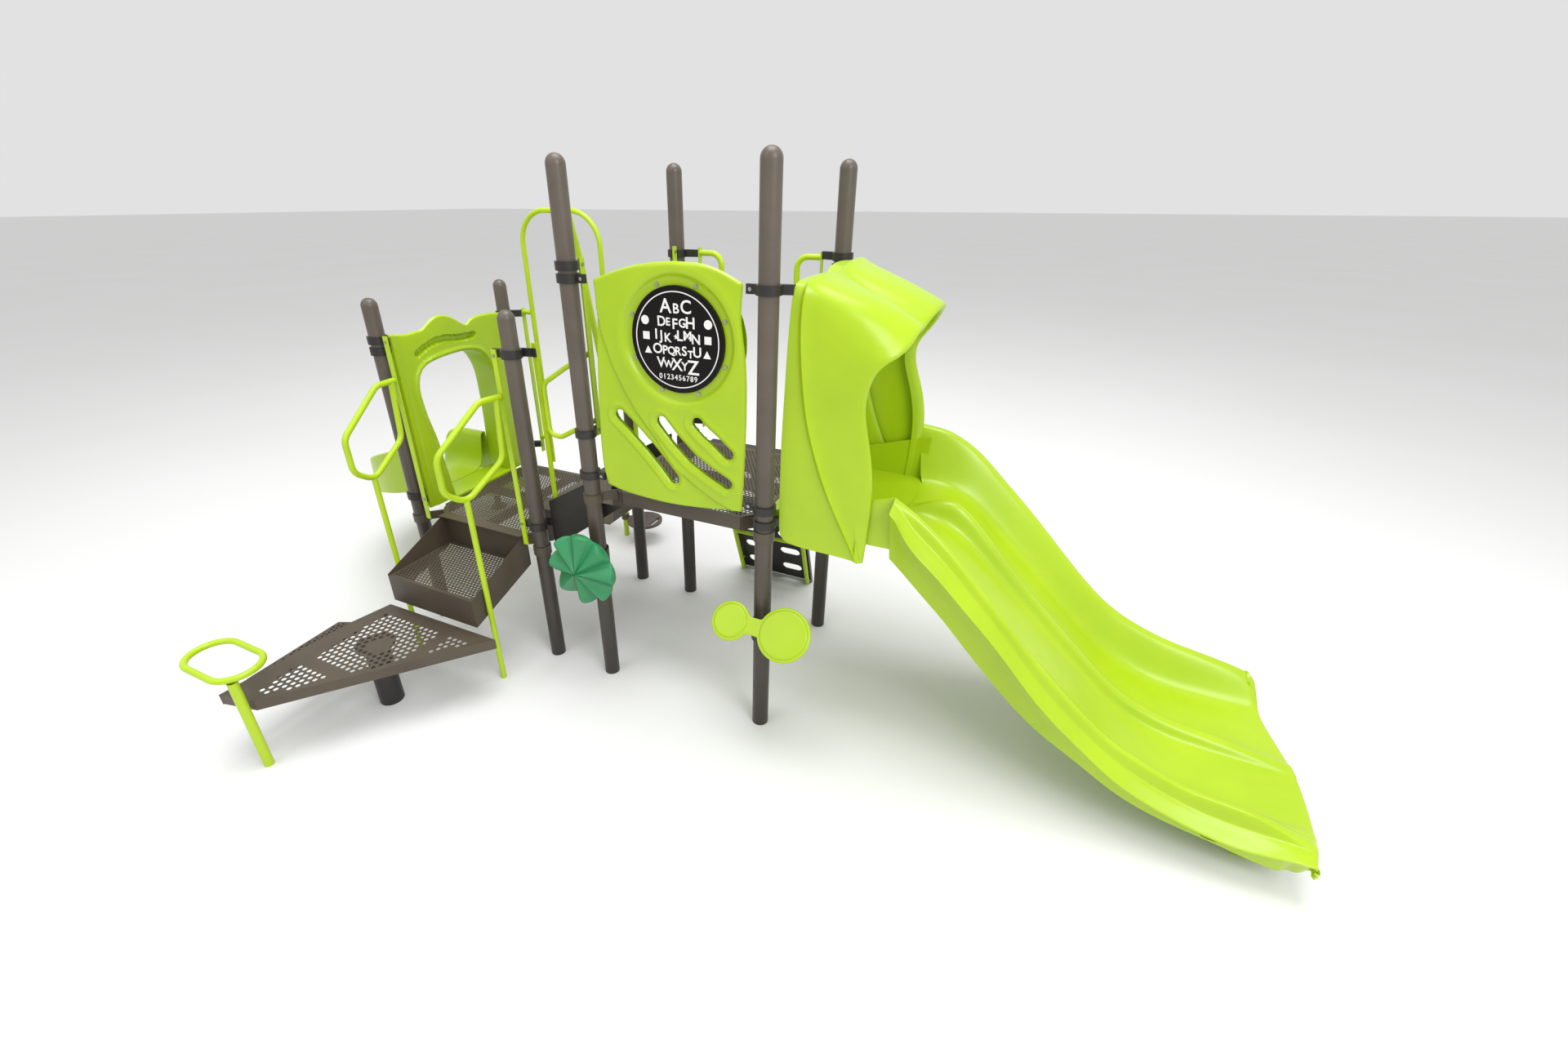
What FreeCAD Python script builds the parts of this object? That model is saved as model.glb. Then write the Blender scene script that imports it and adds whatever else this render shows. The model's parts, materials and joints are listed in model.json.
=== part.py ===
"""Play structure with two decks, slides, climbers and activity panels.

Millimetres, +Z up. The origin is the foot of the front left post of the high deck.
+X runs from the low deck towards the double slide, +Y runs to the back.
"""
import FreeCAD, Part
import math
import os
from FreeCAD import Vector

os.makedirs("parts", exist_ok=True)

# ---- driving dimensions -------------------------------------------------------------
BAY = 1016.0              # post spacing of one deck, centre to centre
STEP_GAP = 426.6          # distance between the two decks' post rows
POST_R = 44.45            # 3.5 inch round post
POST_WALL = 3.2
HIGH_POST_TOP = 2800.0    # top of the tube, below its dome
LOW_POST_TOP = 2119.0
HIGH_DECK_Z = 1240.0
LOW_DECK_Z = 815.0
DECK_INSET = 55.0         # from the line of post centres to the deck's edge
DECK_FLANGE = 75.0
SHEET = 3.0
RUN_R = 16.7              # 33.4 mm rails and loops
RUN_WALL = 2.6
FIT = 0.3                 # gap between a post and a ring round it

LOW_X1 = -STEP_GAP                    # front right post of the low deck
LOW_X0 = -STEP_GAP - BAY              # front left post of the low deck
LOW_MID = (LOW_X0 + LOW_X1) / 2
HIGH_POSTS = {
    "front_left": (0.0, 0.0), "front_right": (BAY, 0.0),
    "back_left": (0.0, BAY), "back_right": (BAY, BAY)}
LOW_POSTS = {
    "front_left": (LOW_X0, 0.0), "front_right": (LOW_X1, 0.0),
    "back_left": (LOW_X0, BAY), "back_right": (LOW_X1, BAY)}


# ---- helpers ------------------------------------------------------------------------
def save(name, shape):
    """Write one sub-part's solid, or its group of solids."""
    shape.exportStep("parts/" + name + ".step")


def box(x0, x1, y0, y1, z0, z1):
    return Part.makeBox(x1 - x0, y1 - y0, z1 - z0, Vector(x0, y0, z0))


def rod(start, end, radius):
    a = Vector(*start)
    run = Vector(*end) - a
    return Part.makeCylinder(radius, run.Length, a, run)


def ring(x, y, z0, height, outer, inner):
    return rod((x, y, z0), (x, y, z0 + height), outer).cut(
        rod((x, y, z0 - 1), (x, y, z0 + height + 1), inner))


def fuse(shapes):
    whole = shapes[0]
    if len(shapes) > 1:
        whole = whole.multiFuse(shapes[1:])
    return whole.removeSplitter()


def polygon(points):
    """Closed wire through 3-D points."""
    corners = [Vector(*p) for p in points]
    return Part.makePolygon(corners + corners[:1])


def prism(points, direction):
    """Solid from a flat outline moved along a direction."""
    return Part.Face(polygon(points)).extrude(Vector(*direction))


def bent_path(points, radius):
    """Straight runs joined by tangent arcs of one radius, or less where a run is short."""
    corners = [Vector(*p) for p in points]
    edges = []
    start = corners[0]
    for before, here, after in zip(corners, corners[1:], corners[2:]):
        into = (here - before).normalize()
        out = (after - here).normalize()
        turn = into.getAngle(out)
        if turn < 0.01:
            continue
        room = 0.48 * min((here - before).Length, (after - here).Length)
        reach = min(radius * math.tan(turn / 2), room)
        bend = reach / math.tan(turn / 2)
        first = here - into * reach
        last = here + out * reach
        middle = here + (out - into).normalize() * (bend / math.cos(turn / 2) - bend)
        if (first - start).Length > 1e-6:
            edges.append(Part.makeLine(start, first))
        edges.append(Part.Arc(first, middle, last).toShape())
        start = last
    edges.append(Part.makeLine(start, corners[-1]))
    return Part.Wire(edges)


def sweep(path, radius):
    edge = path.Edges[0]
    start = edge.valueAt(edge.FirstParameter)
    along = edge.tangentAt(edge.FirstParameter)
    circle = Part.Wire(Part.Circle(start, along, radius).toShape())
    return path.makePipeShell([circle], True, False)


BRANCH_STEP = 0.25        # each branch is this much thinner than the tube before it


def welded_tubes(routes, radius=RUN_R, wall=RUN_WALL, bend=90.0):
    """Round tubes along the routes, welded into one hollow frame."""
    outside = []
    inside = []
    for k, route in enumerate(routes):
        path = bent_path(route, bend)
        outside.append(sweep(path, radius - k * BRANCH_STEP))
        inside.append(sweep(path, radius - wall - k * BRANCH_STEP))
    return fuse(outside).cut(fuse(inside))


def smooth_wire(curves):
    """Closed wire through a chain of curves, each a list of 3-D points."""
    edges = []
    for points in curves:
        corners = [Vector(*p) for p in points]
        if len(corners) == 2:
            edges.append(Part.makeLine(*corners))
        else:
            curve = Part.BSplineCurve()
            curve.interpolate(corners)
            edges.append(curve.toShape())
    return Part.Wire(edges)


def slab(wire, direction):
    """Solid from a closed flat wire, whichever way round the wire runs."""
    solid = Part.Face(wire).extrude(Vector(*direction))
    if solid.Volume < 0:
        solid.reverse()
    return solid


# ---- posts, their caps and feet -----------------------------------------------------
FOOT_PLATE = 6.0
CAP_SKIRT = 40.0


def post(x, y, top):
    tube = rod((x, y, 0), (x, y, top), POST_R)
    return tube.cut(rod((x, y, FOOT_PLATE), (x, y, top + 1), POST_R - POST_WALL))


def dome_cap(x, y, top):
    dome = Part.makeSphere(POST_R, Vector(x, y, top)).common(
        box(x - 60, x + 60, y - 60, y + 60, top, top + 60))
    skirt = ring(x, y, top - CAP_SKIRT, CAP_SKIRT + 5, POST_R - POST_WALL - 0.4, POST_R - 8)
    return dome.fuse(skirt)


for side, (px, py) in HIGH_POSTS.items():
    save("high_post_" + side, post(px, py, HIGH_POST_TOP))
for side, (px, py) in LOW_POSTS.items():
    save("low_post_" + side, post(px, py, LOW_POST_TOP))
save("high_post_caps", Part.makeCompound(
    [dome_cap(px, py, HIGH_POST_TOP) for px, py in HIGH_POSTS.values()]))
save("low_post_caps", Part.makeCompound(
    [dome_cap(px, py, LOW_POST_TOP) for px, py in LOW_POSTS.values()]))

# ---- decks --------------------------------------------------------------------------
CORNER_CUT = 100.0        # leg of the chamfer that clears each post
RIB_W = 40.0
RIB_H = 45.0
HANGER_H = 55.0
HANGER_PLATE = 10.0


def deck_outline(x0, y0, x1, y1, cut, z):
    return [(x0 + cut, y0, z), (x1 - cut, y0, z), (x1, y0 + cut, z), (x1, y1 - cut, z),
            (x1 - cut, y1, z), (x0 + cut, y1, z), (x0, y1 - cut, z), (x0, y0 + cut, z)]


def deck(x_left, top):
    """Sheet platform with a folded flange all round."""
    low, high = DECK_INSET, BAY - DECK_INSET
    tray = prism(deck_outline(x_left + low, low, x_left + high, high, CORNER_CUT,
                              top - DECK_FLANGE), (0, 0, DECK_FLANGE))
    inner_cut = CORNER_CUT - SHEET * 0.6
    hollow = prism(deck_outline(x_left + low + SHEET, low + SHEET, x_left + high - SHEET,
                                high - SHEET, inner_cut, top - DECK_FLANGE - 1),
                   (0, 0, DECK_FLANGE + 1 - SHEET))
    return tray.cut(hollow)


def deck_ribs(x_left, top):
    """Channels under the sheet: one right across and one each side of it."""
    mid = BAY / 2
    low, high = DECK_INSET + SHEET, BAY - DECK_INSET - SHEET
    half = RIB_W / 2
    spans = [(x_left + low, x_left + high, mid - half, mid + half),
             (x_left + mid - half, x_left + mid + half, low, mid - half),
             (x_left + mid - half, x_left + mid + half, mid + half, high)]
    ribs = []
    for x0, x1, y0, y1 in spans:
        bar = box(x0, x1, y0, y1, top - SHEET - RIB_H, top - SHEET)
        along_x = x1 - x0 > y1 - y0
        grow = (0, SHEET) if along_x else (SHEET, 0)
        ribs.append(bar.cut(box(x0 + grow[0], x1 - grow[0], y0 + grow[1], y1 - grow[1],
                                top - 2 * SHEET - RIB_H, top - 2 * SHEET)))
    return Part.makeCompound(ribs)


def deck_hangers(x_left, top):
    """Collar on each post with a plate that bolts to the deck's cut corner."""
    hangers = []
    z0 = top - DECK_FLANGE + 10
    reach = (DECK_INSET + DECK_INSET + CORNER_CUT) / math.sqrt(2)
    for x, y, angle in [(0, 0, 45), (BAY, 0, 135), (BAY, BAY, 225), (0, BAY, 315)]:
        plate = box(POST_R + 3, reach - HANGER_PLATE + 0.5, -5, 5, z0, z0 + HANGER_H)
        pad = box(reach - HANGER_PLATE, reach, -45, 45, z0, z0 + HANGER_H)
        arm = plate.fuse(pad)
        arm.rotate(Vector(0, 0, 0), Vector(0, 0, 1), angle)
        arm.translate(Vector(x_left + x, y, 0))
        collar = ring(x_left + x, y, z0, HANGER_H, POST_R + 8, POST_R + FIT)
        hangers.append(arm.fuse(collar))
    return Part.makeCompound(hangers)


for level, x_left, top in [("high", 0.0, HIGH_DECK_Z), ("low", LOW_X0, LOW_DECK_Z)]:
    save(level + "_deck", deck(x_left, top))
    save(level + "_deck_ribs", deck_ribs(x_left, top))
    save(level + "_deck_hangers", deck_hangers(x_left, top))

# ---- step between the decks ---------------------------------------------------------
MID_STEP_Z = 1022.0
RISER_Y = (100.0, BAY - 100.0)
gap_bar_x = LOW_X1 + 92.0
STRINGER_Y = POST_R + 3.5
STRINGER_BOTTOM = HIGH_DECK_Z - DECK_FLANGE - 15


def stringer(y0):
    """Sloped side plate from the low deck up to the high deck."""
    x0, x1 = LOW_X1 + 60, DECK_INSET + 90
    outline = [(x0, y0, LOW_DECK_Z), (x0, y0, LOW_DECK_Z + 270), (-70, y0, HIGH_DECK_Z + 15),
               (-70, y0, STRINGER_BOTTOM), (x1, y0, STRINGER_BOTTOM),
               (x0 + 90, y0, LOW_DECK_Z + 30)]
    return prism(outline, (0, SHEET, 0))


save("mid_step_stringers", Part.makeCompound(
    [stringer(STRINGER_Y), stringer(BAY - STRINGER_Y - SHEET)]))
tread_y = (STRINGER_Y + SHEET, BAY - STRINGER_Y - SHEET)
tread_x = (LOW_X1 - DECK_INSET, DECK_INSET - SHEET)
mid_tread = box(*tread_x, *tread_y, MID_STEP_Z - SHEET, MID_STEP_Z)
mid_front = box(tread_x[0], tread_x[0] + SHEET, *RISER_Y, LOW_DECK_Z - 40, MID_STEP_Z)
mid_tread = mid_tread.fuse(mid_front)
for y0, y1 in ((tread_y[0] - 1, 85), (BAY - 85, tread_y[1] + 1)):
    mid_tread = mid_tread.cut(box(gap_bar_x - 26, gap_bar_x + 20, y0, y1, 1000, 1100))
save("mid_step_tread", mid_tread.removeSplitter())
save("mid_step_riser", box(tread_x[1], tread_x[1] + SHEET, *RISER_Y,
                           MID_STEP_Z, HIGH_DECK_Z - SHEET))

# ---- step box in front of the low deck ----------------------------------------------
STEP_BOX_W = 686.0
STEP_BOX_FRONT = -440.0
STEP_TREAD_Z = 612.0
STEP_FRONT_LOW = 432.0
box_x = (LOW_MID - STEP_BOX_W / 2, LOW_MID + STEP_BOX_W / 2)


def cheek(x0):
    """Side plate that slopes from the deck down to the tread's front edge."""
    back = DECK_INSET - 5
    return prism([(x0, back, LOW_DECK_Z + 5), (x0, STEP_BOX_FRONT, STEP_TREAD_Z + 5),
                  (x0, STEP_BOX_FRONT, STEP_FRONT_LOW), (x0, back, 600)], (SHEET, 0, 0))


step_front = box(box_x[0] + SHEET, box_x[1] - SHEET, STEP_BOX_FRONT, STEP_BOX_FRONT + SHEET,
                 STEP_FRONT_LOW, STEP_TREAD_Z)
step_back = box(box_x[0] + SHEET, box_x[1] - SHEET, DECK_INSET - 5 - SHEET, DECK_INSET - 5,
                600, LOW_DECK_Z + 5)
step_lip = box(box_x[0] + SHEET, box_x[1] - SHEET, DECK_INSET - 60, DECK_INSET - 5 - SHEET,
               LOW_DECK_Z + 5 - SHEET, LOW_DECK_Z + 5)
save("step_box", fuse([cheek(box_x[0]), cheek(box_x[1] - SHEET), step_front, step_back,
                       step_lip]))
save("step_tread", box(box_x[0] + SHEET, box_x[1] - SHEET, STEP_BOX_FRONT + SHEET,
                       DECK_INSET - 5 - SHEET, STEP_TREAD_Z - 4 - SHEET, STEP_TREAD_Z - 4))

# ---- transfer platform --------------------------------------------------------------
PLATFORM_Z = 406.0
PLATFORM_FLANGE = 62.0
LEAF_Z = 366.0
platform_plan = [(-1298, -462), (-446, -456), (-1184, -1349), (-1389, -1394), (-1350, -700)]
leaf_plan = [(-1364, -640), (-1480, -692), (-1446, -1240), (-1397, -1290)]


def inset_plan(points, gap):
    """The same outline moved inwards by a gap, for points in clockwise order."""
    flat = [Vector(x, y, 0) for x, y in points]
    centre = sum(flat, Vector()) * (1.0 / len(flat))
    lines = []
    for a, b in zip(flat, flat[1:] + flat[:1]):
        along = (b - a).normalize()
        inward = Vector(-along.y, along.x, 0)
        if inward.dot(centre - a) < 0:
            inward = -inward
        lines.append((a + inward * gap, along))
    inner = []
    for (p, d), (q, e) in zip(lines[-1:] + lines[:-1], lines):
        cross = d.x * e.y - d.y * e.x
        t = ((q.x - p.x) * e.y - (q.y - p.y) * e.x) / cross
        inner.append((p.x + d.x * t, p.y + d.y * t))
    return inner


def tray(plan, top, flange):
    """Folded sheet tray, open underneath."""
    outer = prism([(x, y, top - flange) for x, y in plan], (0, 0, flange))
    inner = prism([(x, y, top - flange - 1) for x, y in inset_plan(plan, SHEET)],
                  (0, 0, flange + 1 - SHEET))
    return outer.cut(inner)


save("transfer_platform", tray(platform_plan, PLATFORM_Z, PLATFORM_FLANGE))
save("transfer_side_leaf", tray(leaf_plan, LEAF_Z, PLATFORM_FLANGE))
SUPPORT_X, SUPPORT_Y = -1040.0, -770.0
SUPPORT_R = 66.0
support_top = PLATFORM_Z - SHEET
support = rod((SUPPORT_X, SUPPORT_Y, 0), (SUPPORT_X, SUPPORT_Y, support_top - 8), SUPPORT_R)
support = support.cut(rod((SUPPORT_X, SUPPORT_Y, FOOT_PLATE),
                          (SUPPORT_X, SUPPORT_Y, support_top - 8), SUPPORT_R - POST_WALL))
save("platform_support", support)
save("platform_support_flange", rod((SUPPORT_X, SUPPORT_Y, support_top - 8),
                                    (SUPPORT_X, SUPPORT_Y, support_top), 105))

# ---- loop handle beside the transfer platform ---------------------------------------
HANDLE_X, HANDLE_Y = -1201.0, -1390.0
HANDLE_POST_R = 24.0
HANDLE_Z = 570.0
LOOP_RX, LOOP_RY = 213.0, 118.0
save("loop_handle_post", rod((HANDLE_X, HANDLE_Y, 0),
                             (HANDLE_X, HANDLE_Y, HANDLE_Z - RUN_R), HANDLE_POST_R).cut(
    rod((HANDLE_X, HANDLE_Y, FOOT_PLATE), (HANDLE_X, HANDLE_Y, HANDLE_Z),
        HANDLE_POST_R - RUN_WALL)))


def oval_loop(cx, cy, z, rx, ry):
    """Closed loop of solid bar: two half circles joined by straight sides."""
    flat = rx - ry
    ends = []
    for side in (-1, 1):
        x = cx + side * flat
        half = Part.makeTorus(ry, RUN_R, Vector(x, cy, z), Vector(0, 0, 1))
        reach = ry + 40
        ends.append(half.common(box(min(x, x + side * reach), max(x, x + side * reach),
                                    cy - reach, cy + reach, z - 40, z + 40)))
    sides = [rod((cx - flat, cy + s * ry, z), (cx + flat, cy + s * ry, z), RUN_R)
             for s in (-1, 1)]
    return fuse(ends + sides)


loop = oval_loop(HANDLE_X - 188, HANDLE_Y + 72, HANDLE_Z, LOOP_RX, LOOP_RY)
save("loop_handle_ring", loop)

# ---- handrails beside the step box --------------------------------------------------
BAR_W = 32.0
BAR_T = 8.0
RAIL_BAR_Y = -30.0
rail_bars = {"left": LOW_MID - 402.0, "right": LOW_MID + 415.0}
rail_feet = {"left": (LOW_MID - 362.0, -344.0), "right": (LOW_MID + 362.0, -344.0)}


def handrail(bar_x, foot):
    """Loop with one leg to the ground, all in one upright plane."""
    start = Vector(bar_x, RAIL_BAR_Y - BAR_T / 2, 0)
    out = (Vector(foot[0], foot[1], 0) - start).normalize()

    def at(reach, z):
        spot = start + out * reach
        return (spot.x, spot.y, z)

    leg = (Vector(foot[0], foot[1], 0) - start).Length
    outer = [at(3.5, 1712), at(140, 1712), at(432, 1490), at(432, 1290), at(leg, 1205),
             at(52, 1370), at(52 - 11, 1541)]
    inner = [at(52 - 11, 1541), at(30, 1712)]
    return welded_tubes([outer, inner, [at(leg, 0), at(leg, 1226)]], RUN_R, RUN_WALL, 85)


for side in ("left", "right"):
    save("handrail_" + side, handrail(rail_bars[side], rail_feet[side]))
save("handrail_bars", Part.makeCompound([
    box(x - BAR_W / 2, x + BAR_W / 2, RAIL_BAR_Y - BAR_T / 2, RAIL_BAR_Y + BAR_T / 2, 800, 1962)
    for x in rail_bars.values()]))

# ---- gap rails between the two post rows --------------------------------------------
GAP_RAIL_Y = 75.0
GAP_RAIL_R = 13.5
HIGH_BAR_X = 22.5


def gap_rail(y):
    """Sloped loop that guards the step, fixed to a bar by each post."""
    upright = gap_bar_x + 12 + GAP_RAIL_R
    route = [(HIGH_BAR_X + 10, y, 1980), (-150, y, 1880), (upright, y, 1780),
             (upright, y, 1500), (-235, y, 1490), (-150, y, 1535), (HIGH_BAR_X + 10, y, 1632)]
    rail = welded_tubes([route], GAP_RAIL_R, RUN_WALL, 60)
    return rail.cut(box(HIGH_BAR_X, HIGH_BAR_X + 60, y - 40, y + 40, 1500, 2100))


gap_bars = []
for side, y in (("front", GAP_RAIL_Y), ("back", BAY - GAP_RAIL_Y)):
    save("gap_rail_" + side, gap_rail(y))
    gap_bars.append(box(gap_bar_x - 18, gap_bar_x + 12, y - BAR_T / 2, y + BAR_T / 2, 880, 1992))
    gap_bars.append(box(HIGH_BAR_X, HIGH_BAR_X + BAR_T, y - 18, y + 18, 1545, 2418))
save("gap_rail_bars", Part.makeCompound(gap_bars))

# ---- arch over the back opening of the low deck, and the pod climber behind it ------
ARCH_HALF = 318.0
ARCH_TOP = 2596.0
ARCH_Y = BAY + 84.0
arch_route = [(LOW_MID - ARCH_HALF, ARCH_Y, LOW_DECK_Z - 10), (LOW_MID - ARCH_HALF, ARCH_Y, 1700),
              (LOW_MID - ARCH_HALF, ARCH_Y, ARCH_TOP), (LOW_MID + ARCH_HALF, ARCH_Y, ARCH_TOP),
              (LOW_MID + ARCH_HALF, ARCH_Y, 1700), (LOW_MID + ARCH_HALF, ARCH_Y, LOW_DECK_Z - 10)]
links = []
for side in (-1, 1):
    for z in (1000, 1940):
        links.append([(LOW_MID + side * (ARCH_HALF + 82), ARCH_Y, z),
                      (LOW_MID + side * (ARCH_HALF + 2), ARCH_Y, z)])
save("back_arch", welded_tubes([arch_route] + links, RUN_R, RUN_WALL, 210))
save("back_arch_bars", Part.makeCompound([
    box(*sorted((LOW_MID + side * (ARCH_HALF + 82.2), LOW_MID + side * (ARCH_HALF + 90))),
        ARCH_Y - 16, ARCH_Y + 16, 880, 1965) for side in (-1, 1)]))

POLE_Y = 1545.0
POLE_R = 22.0
POLE_TOP_Z = 2596.0
POD_R = 148.0
POD_THICK = 22.0
SLEEVE_R = 34.0
pole_route = [(LOW_MID, ARCH_Y + RUN_R + 0.5, POLE_TOP_Z), (LOW_MID, ARCH_Y + 105, POLE_TOP_Z),
              (LOW_MID, ARCH_Y + 185, 2300), (LOW_MID, POLE_Y, 800), (LOW_MID, POLE_Y, 0)]
save("pod_pole", welded_tubes([pole_route], POLE_R, 3.0, 150))


def pod(side, z):
    """Round foot pad with a grip slot, on a sleeve round the pole."""
    cx = LOW_MID + side * (POD_R + 52)
    slot_x = cx + side * 98
    slot = fuse([box(slot_x - 15, slot_x + 15, POLE_Y - 60, POLE_Y + 60, z - 1, z + 60)] + [
        rod((slot_x, POLE_Y + end, z - 1), (slot_x, POLE_Y + end, z + 60), 15)
        for end in (-60, 60)])
    neck = box(*sorted((LOW_MID + side * (SLEEVE_R - 6), cx - side * (POD_R - 10))),
               POLE_Y - 20, POLE_Y + 20, z, z + 14)
    sleeve = rod((LOW_MID, POLE_Y, z - 12), (LOW_MID, POLE_Y, z + POD_THICK + 12), SLEEVE_R)
    whole = fuse([rod((cx, POLE_Y, z), (cx, POLE_Y, z + POD_THICK), POD_R), neck, sleeve])
    bore = rod((LOW_MID, POLE_Y, z - 30), (LOW_MID, POLE_Y, z + 60), POLE_R + FIT)
    return whole.cut(slot).cut(bore)


save("climber_pods", Part.makeCompound([pod(1, 175), pod(-1, 400), pod(1, 640)]))

# ---- cloud topped panel at the low deck's end ---------------------------------------
CLOUD_X = LOW_X0
CLOUD_BACK = CLOUD_X - 30.0
CLOUD_FRONT = CLOUD_X + 30.0
cloud_top = [(62, 1950), (165, 1935), (290, 1945), (380, 1996), (470, 2004), (560, 1966),
             (635, 1922), (690, 1950), (770, 1962), (955, 1950)]
ENTRY_FLOOR = LOW_DECK_Z + 15.0
cloud_outline = smooth_wire([
    [(CLOUD_BACK, y, z) for y, z in cloud_top],
    [(CLOUD_BACK, 955, 1950), (CLOUD_BACK, 955, LOW_DECK_Z)],
    [(CLOUD_BACK, 955, LOW_DECK_Z), (CLOUD_BACK, 62, LOW_DECK_Z)],
    [(CLOUD_BACK, 62, LOW_DECK_Z), (CLOUD_BACK, 62, 1950)]])
TUNNEL_X = CLOUD_BACK - 130.0
TUNNEL_WALL = 24.0
opening_side = [(270, ENTRY_FLOOR), (225, 1250), (178, 1560), (205, 1680), (330, 1745),
                (560, 1760), (720, 1720), (800, 1560), (806, 1250), (780, ENTRY_FLOOR)]


def offset_profile(points, gap):
    """The profile moved to its right hand side by a gap."""
    moved = []
    for i, (y, z) in enumerate(points):
        ahead = points[min(i + 1, len(points) - 1)]
        behind = points[max(i - 1, 0)]
        dy, dz = ahead[0] - behind[0], ahead[1] - behind[1]
        size = math.hypot(dy, dz)
        moved.append((y + gap * dz / size, z - gap * dy / size))
    return moved


def tunnel(side_points, x0, x1):
    """Solid bar with the doorway's section."""
    curve = [(x0, y, z) for y, z in side_points]
    return slab(smooth_wire([curve, [curve[-1], curve[0]]]), (x1 - x0, 0, 0))


wave_slot = smooth_wire([
    [(CLOUD_BACK - 5, 205, 1812), (CLOUD_BACK - 5, 300, 1858), (CLOUD_BACK - 5, 420, 1880),
     (CLOUD_BACK - 5, 560, 1860), (CLOUD_BACK - 5, 695, 1860)],
    [(CLOUD_BACK - 5, 695, 1860), (CLOUD_BACK - 5, 695, 1830)],
    [(CLOUD_BACK - 5, 695, 1830), (CLOUD_BACK - 5, 560, 1830), (CLOUD_BACK - 5, 420, 1843),
     (CLOUD_BACK - 5, 300, 1820), (CLOUD_BACK - 5, 212, 1790)],
    [(CLOUD_BACK - 5, 212, 1790), (CLOUD_BACK - 5, 205, 1812)]])
cloud = slab(cloud_outline, (CLOUD_FRONT - CLOUD_BACK, 0, 0)).cut(slab(wave_slot, (80, 0, 0)))
surround = tunnel(offset_profile(opening_side, -TUNNEL_WALL), TUNNEL_X, CLOUD_FRONT + 12)
floor = box(TUNNEL_X, LOW_X0 + DECK_INSET, 250, 800, ENTRY_FLOOR - 24, ENTRY_FLOOR)
cloud = cloud.fuse(surround).cut(tunnel(opening_side, TUNNEL_X - 10, CLOUD_FRONT + 50))
cloud = cloud.fuse(floor)
save("slide_entry_panel", cloud.removeSplitter())

# ---- chutes: a profile lofted through stations --------------------------------------
def loft_shell(sections):
    """Solid through closed station outlines that have the same number of corners."""
    return Part.makeLoft([polygon(section) for section in sections], True, True)


SMALL_START_X = TUNNEL_X - 0.5
SMALL_W = 290.0           # half width of the small slide
SMALL_WALL = 10.0
SMALL_Y = 508.0
TURN_X = LOW_X0 - 500.0
TURN_Y = 950.0
TURN_R = TURN_Y - SMALL_Y
SMALL_EXIT_Y = 1640.0


def small_section(cx, cy, heading, bed, rail):
    """One station of the small slide: a round-bottomed trough with rolled rims."""
    half = [(SMALL_W, -40), (SMALL_W - 2, rail), (SMALL_W - 30, rail + 10),
            (SMALL_W - 60, rail - 12), (SMALL_W - 82, 60), (SMALL_W - 130, 12), (90, 0)]
    top = [(-y, z) for y, z in half] + [(y, z) for y, z in reversed(half)]
    loop_points = top + list(reversed(offset_profile(top, SMALL_WALL)))
    across = (math.cos(heading), math.sin(heading))
    return [(cx + across[0] * s, cy + across[1] * s, bed + z) for s, z in loop_points]


def small_slide():
    sections = []
    quarter = math.pi / 2
    straight = SMALL_START_X - TURN_X
    arc = TURN_R * quarter
    run = SMALL_EXIT_Y - TURN_Y
    total = straight + arc + run
    stops = [0, straight * 0.5, straight]
    stops += [straight + arc * k / 6 for k in range(1, 7)]
    stops += [straight + arc + run * k / 4 for k in range(1, 5)]
    for travelled in stops:
        if travelled <= straight:
            cx, cy, turn = SMALL_START_X - travelled, SMALL_Y, 0.0
        elif travelled <= straight + arc + 0.1:
            turn = (travelled - straight) / TURN_R
            cx = TURN_X - TURN_R * math.sin(turn)
            cy = TURN_Y - TURN_R * math.cos(turn)
        else:
            cx, cy, turn = TURN_X - TURN_R, TURN_Y + travelled - straight - arc, quarter
        fall = min(max((travelled - straight * 0.6) / (total - straight * 0.6 - 220), 0), 1)
        ease = fall * fall * (3 - 2 * fall)
        bed = LOW_DECK_Z + 15 - (LOW_DECK_Z + 15 - 270) * (0.35 * fall + 0.65 * ease)
        rail = 262 - 120 * min(max((travelled - straight) / arc, 0), 1)
        sections.append(small_section(cx, cy, quarter - turn + math.pi, bed, rail))
    return loft_shell(sections)


save("small_slide", small_slide())
small_leg_x = TURN_X - TURN_R
save("small_slide_leg", fuse([
    rod((small_leg_x, SMALL_EXIT_Y - 140, 0), (small_leg_x, SMALL_EXIT_Y - 140, 236), 30),
    rod((small_leg_x, SMALL_EXIT_Y - 140, 0), (small_leg_x, SMALL_EXIT_Y - 140, 8), 70)]))

# ---- front activity panel -----------------------------------------------------------
PANEL_FRONT = -25.0
PANEL_BACK = 45.0
DISC_X, DISC_Z = 583.0, 2096.0
DISC_R = 236.0
RECESS_R = 272.0
RECESS_DEPTH = 22.0
BOLT_RING = 254.0


def at_front(points):
    return [(x, PANEL_FRONT, z) for x, z in points]


panel_wire = smooth_wire([
    at_front([(152, 2338), (300, 2387), (546, 2427), (724, 2422), (810, 2398), (905, 2354)]),
    at_front([(905, 2354), (898, 2210), (920, 2028), (925, 1812), (916, 1545), (902, 1308)]),
    at_front([(902, 1308), (690, 1282), (475, 1271), (225, 1288), (128, 1312)]),
    at_front([(128, 1312), (106, 1418), (108, 1655), (129, 1984), (155, 2240), (152, 2338)])])
panel = slab(panel_wire, (0, PANEL_BACK - PANEL_FRONT, 0))
panel = panel.cut(rod((DISC_X, PANEL_FRONT - 1, DISC_Z),
                      (DISC_X, PANEL_FRONT + RECESS_DEPTH, DISC_Z), RECESS_R))
SLOTS = [((235, 1705), (395, 1560), (528, 1412)), ((478, 1705), (640, 1540), (822, 1440)),
         ((672, 1722), (760, 1650), (830, 1592))]
SLOT_R = 27.0
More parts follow.
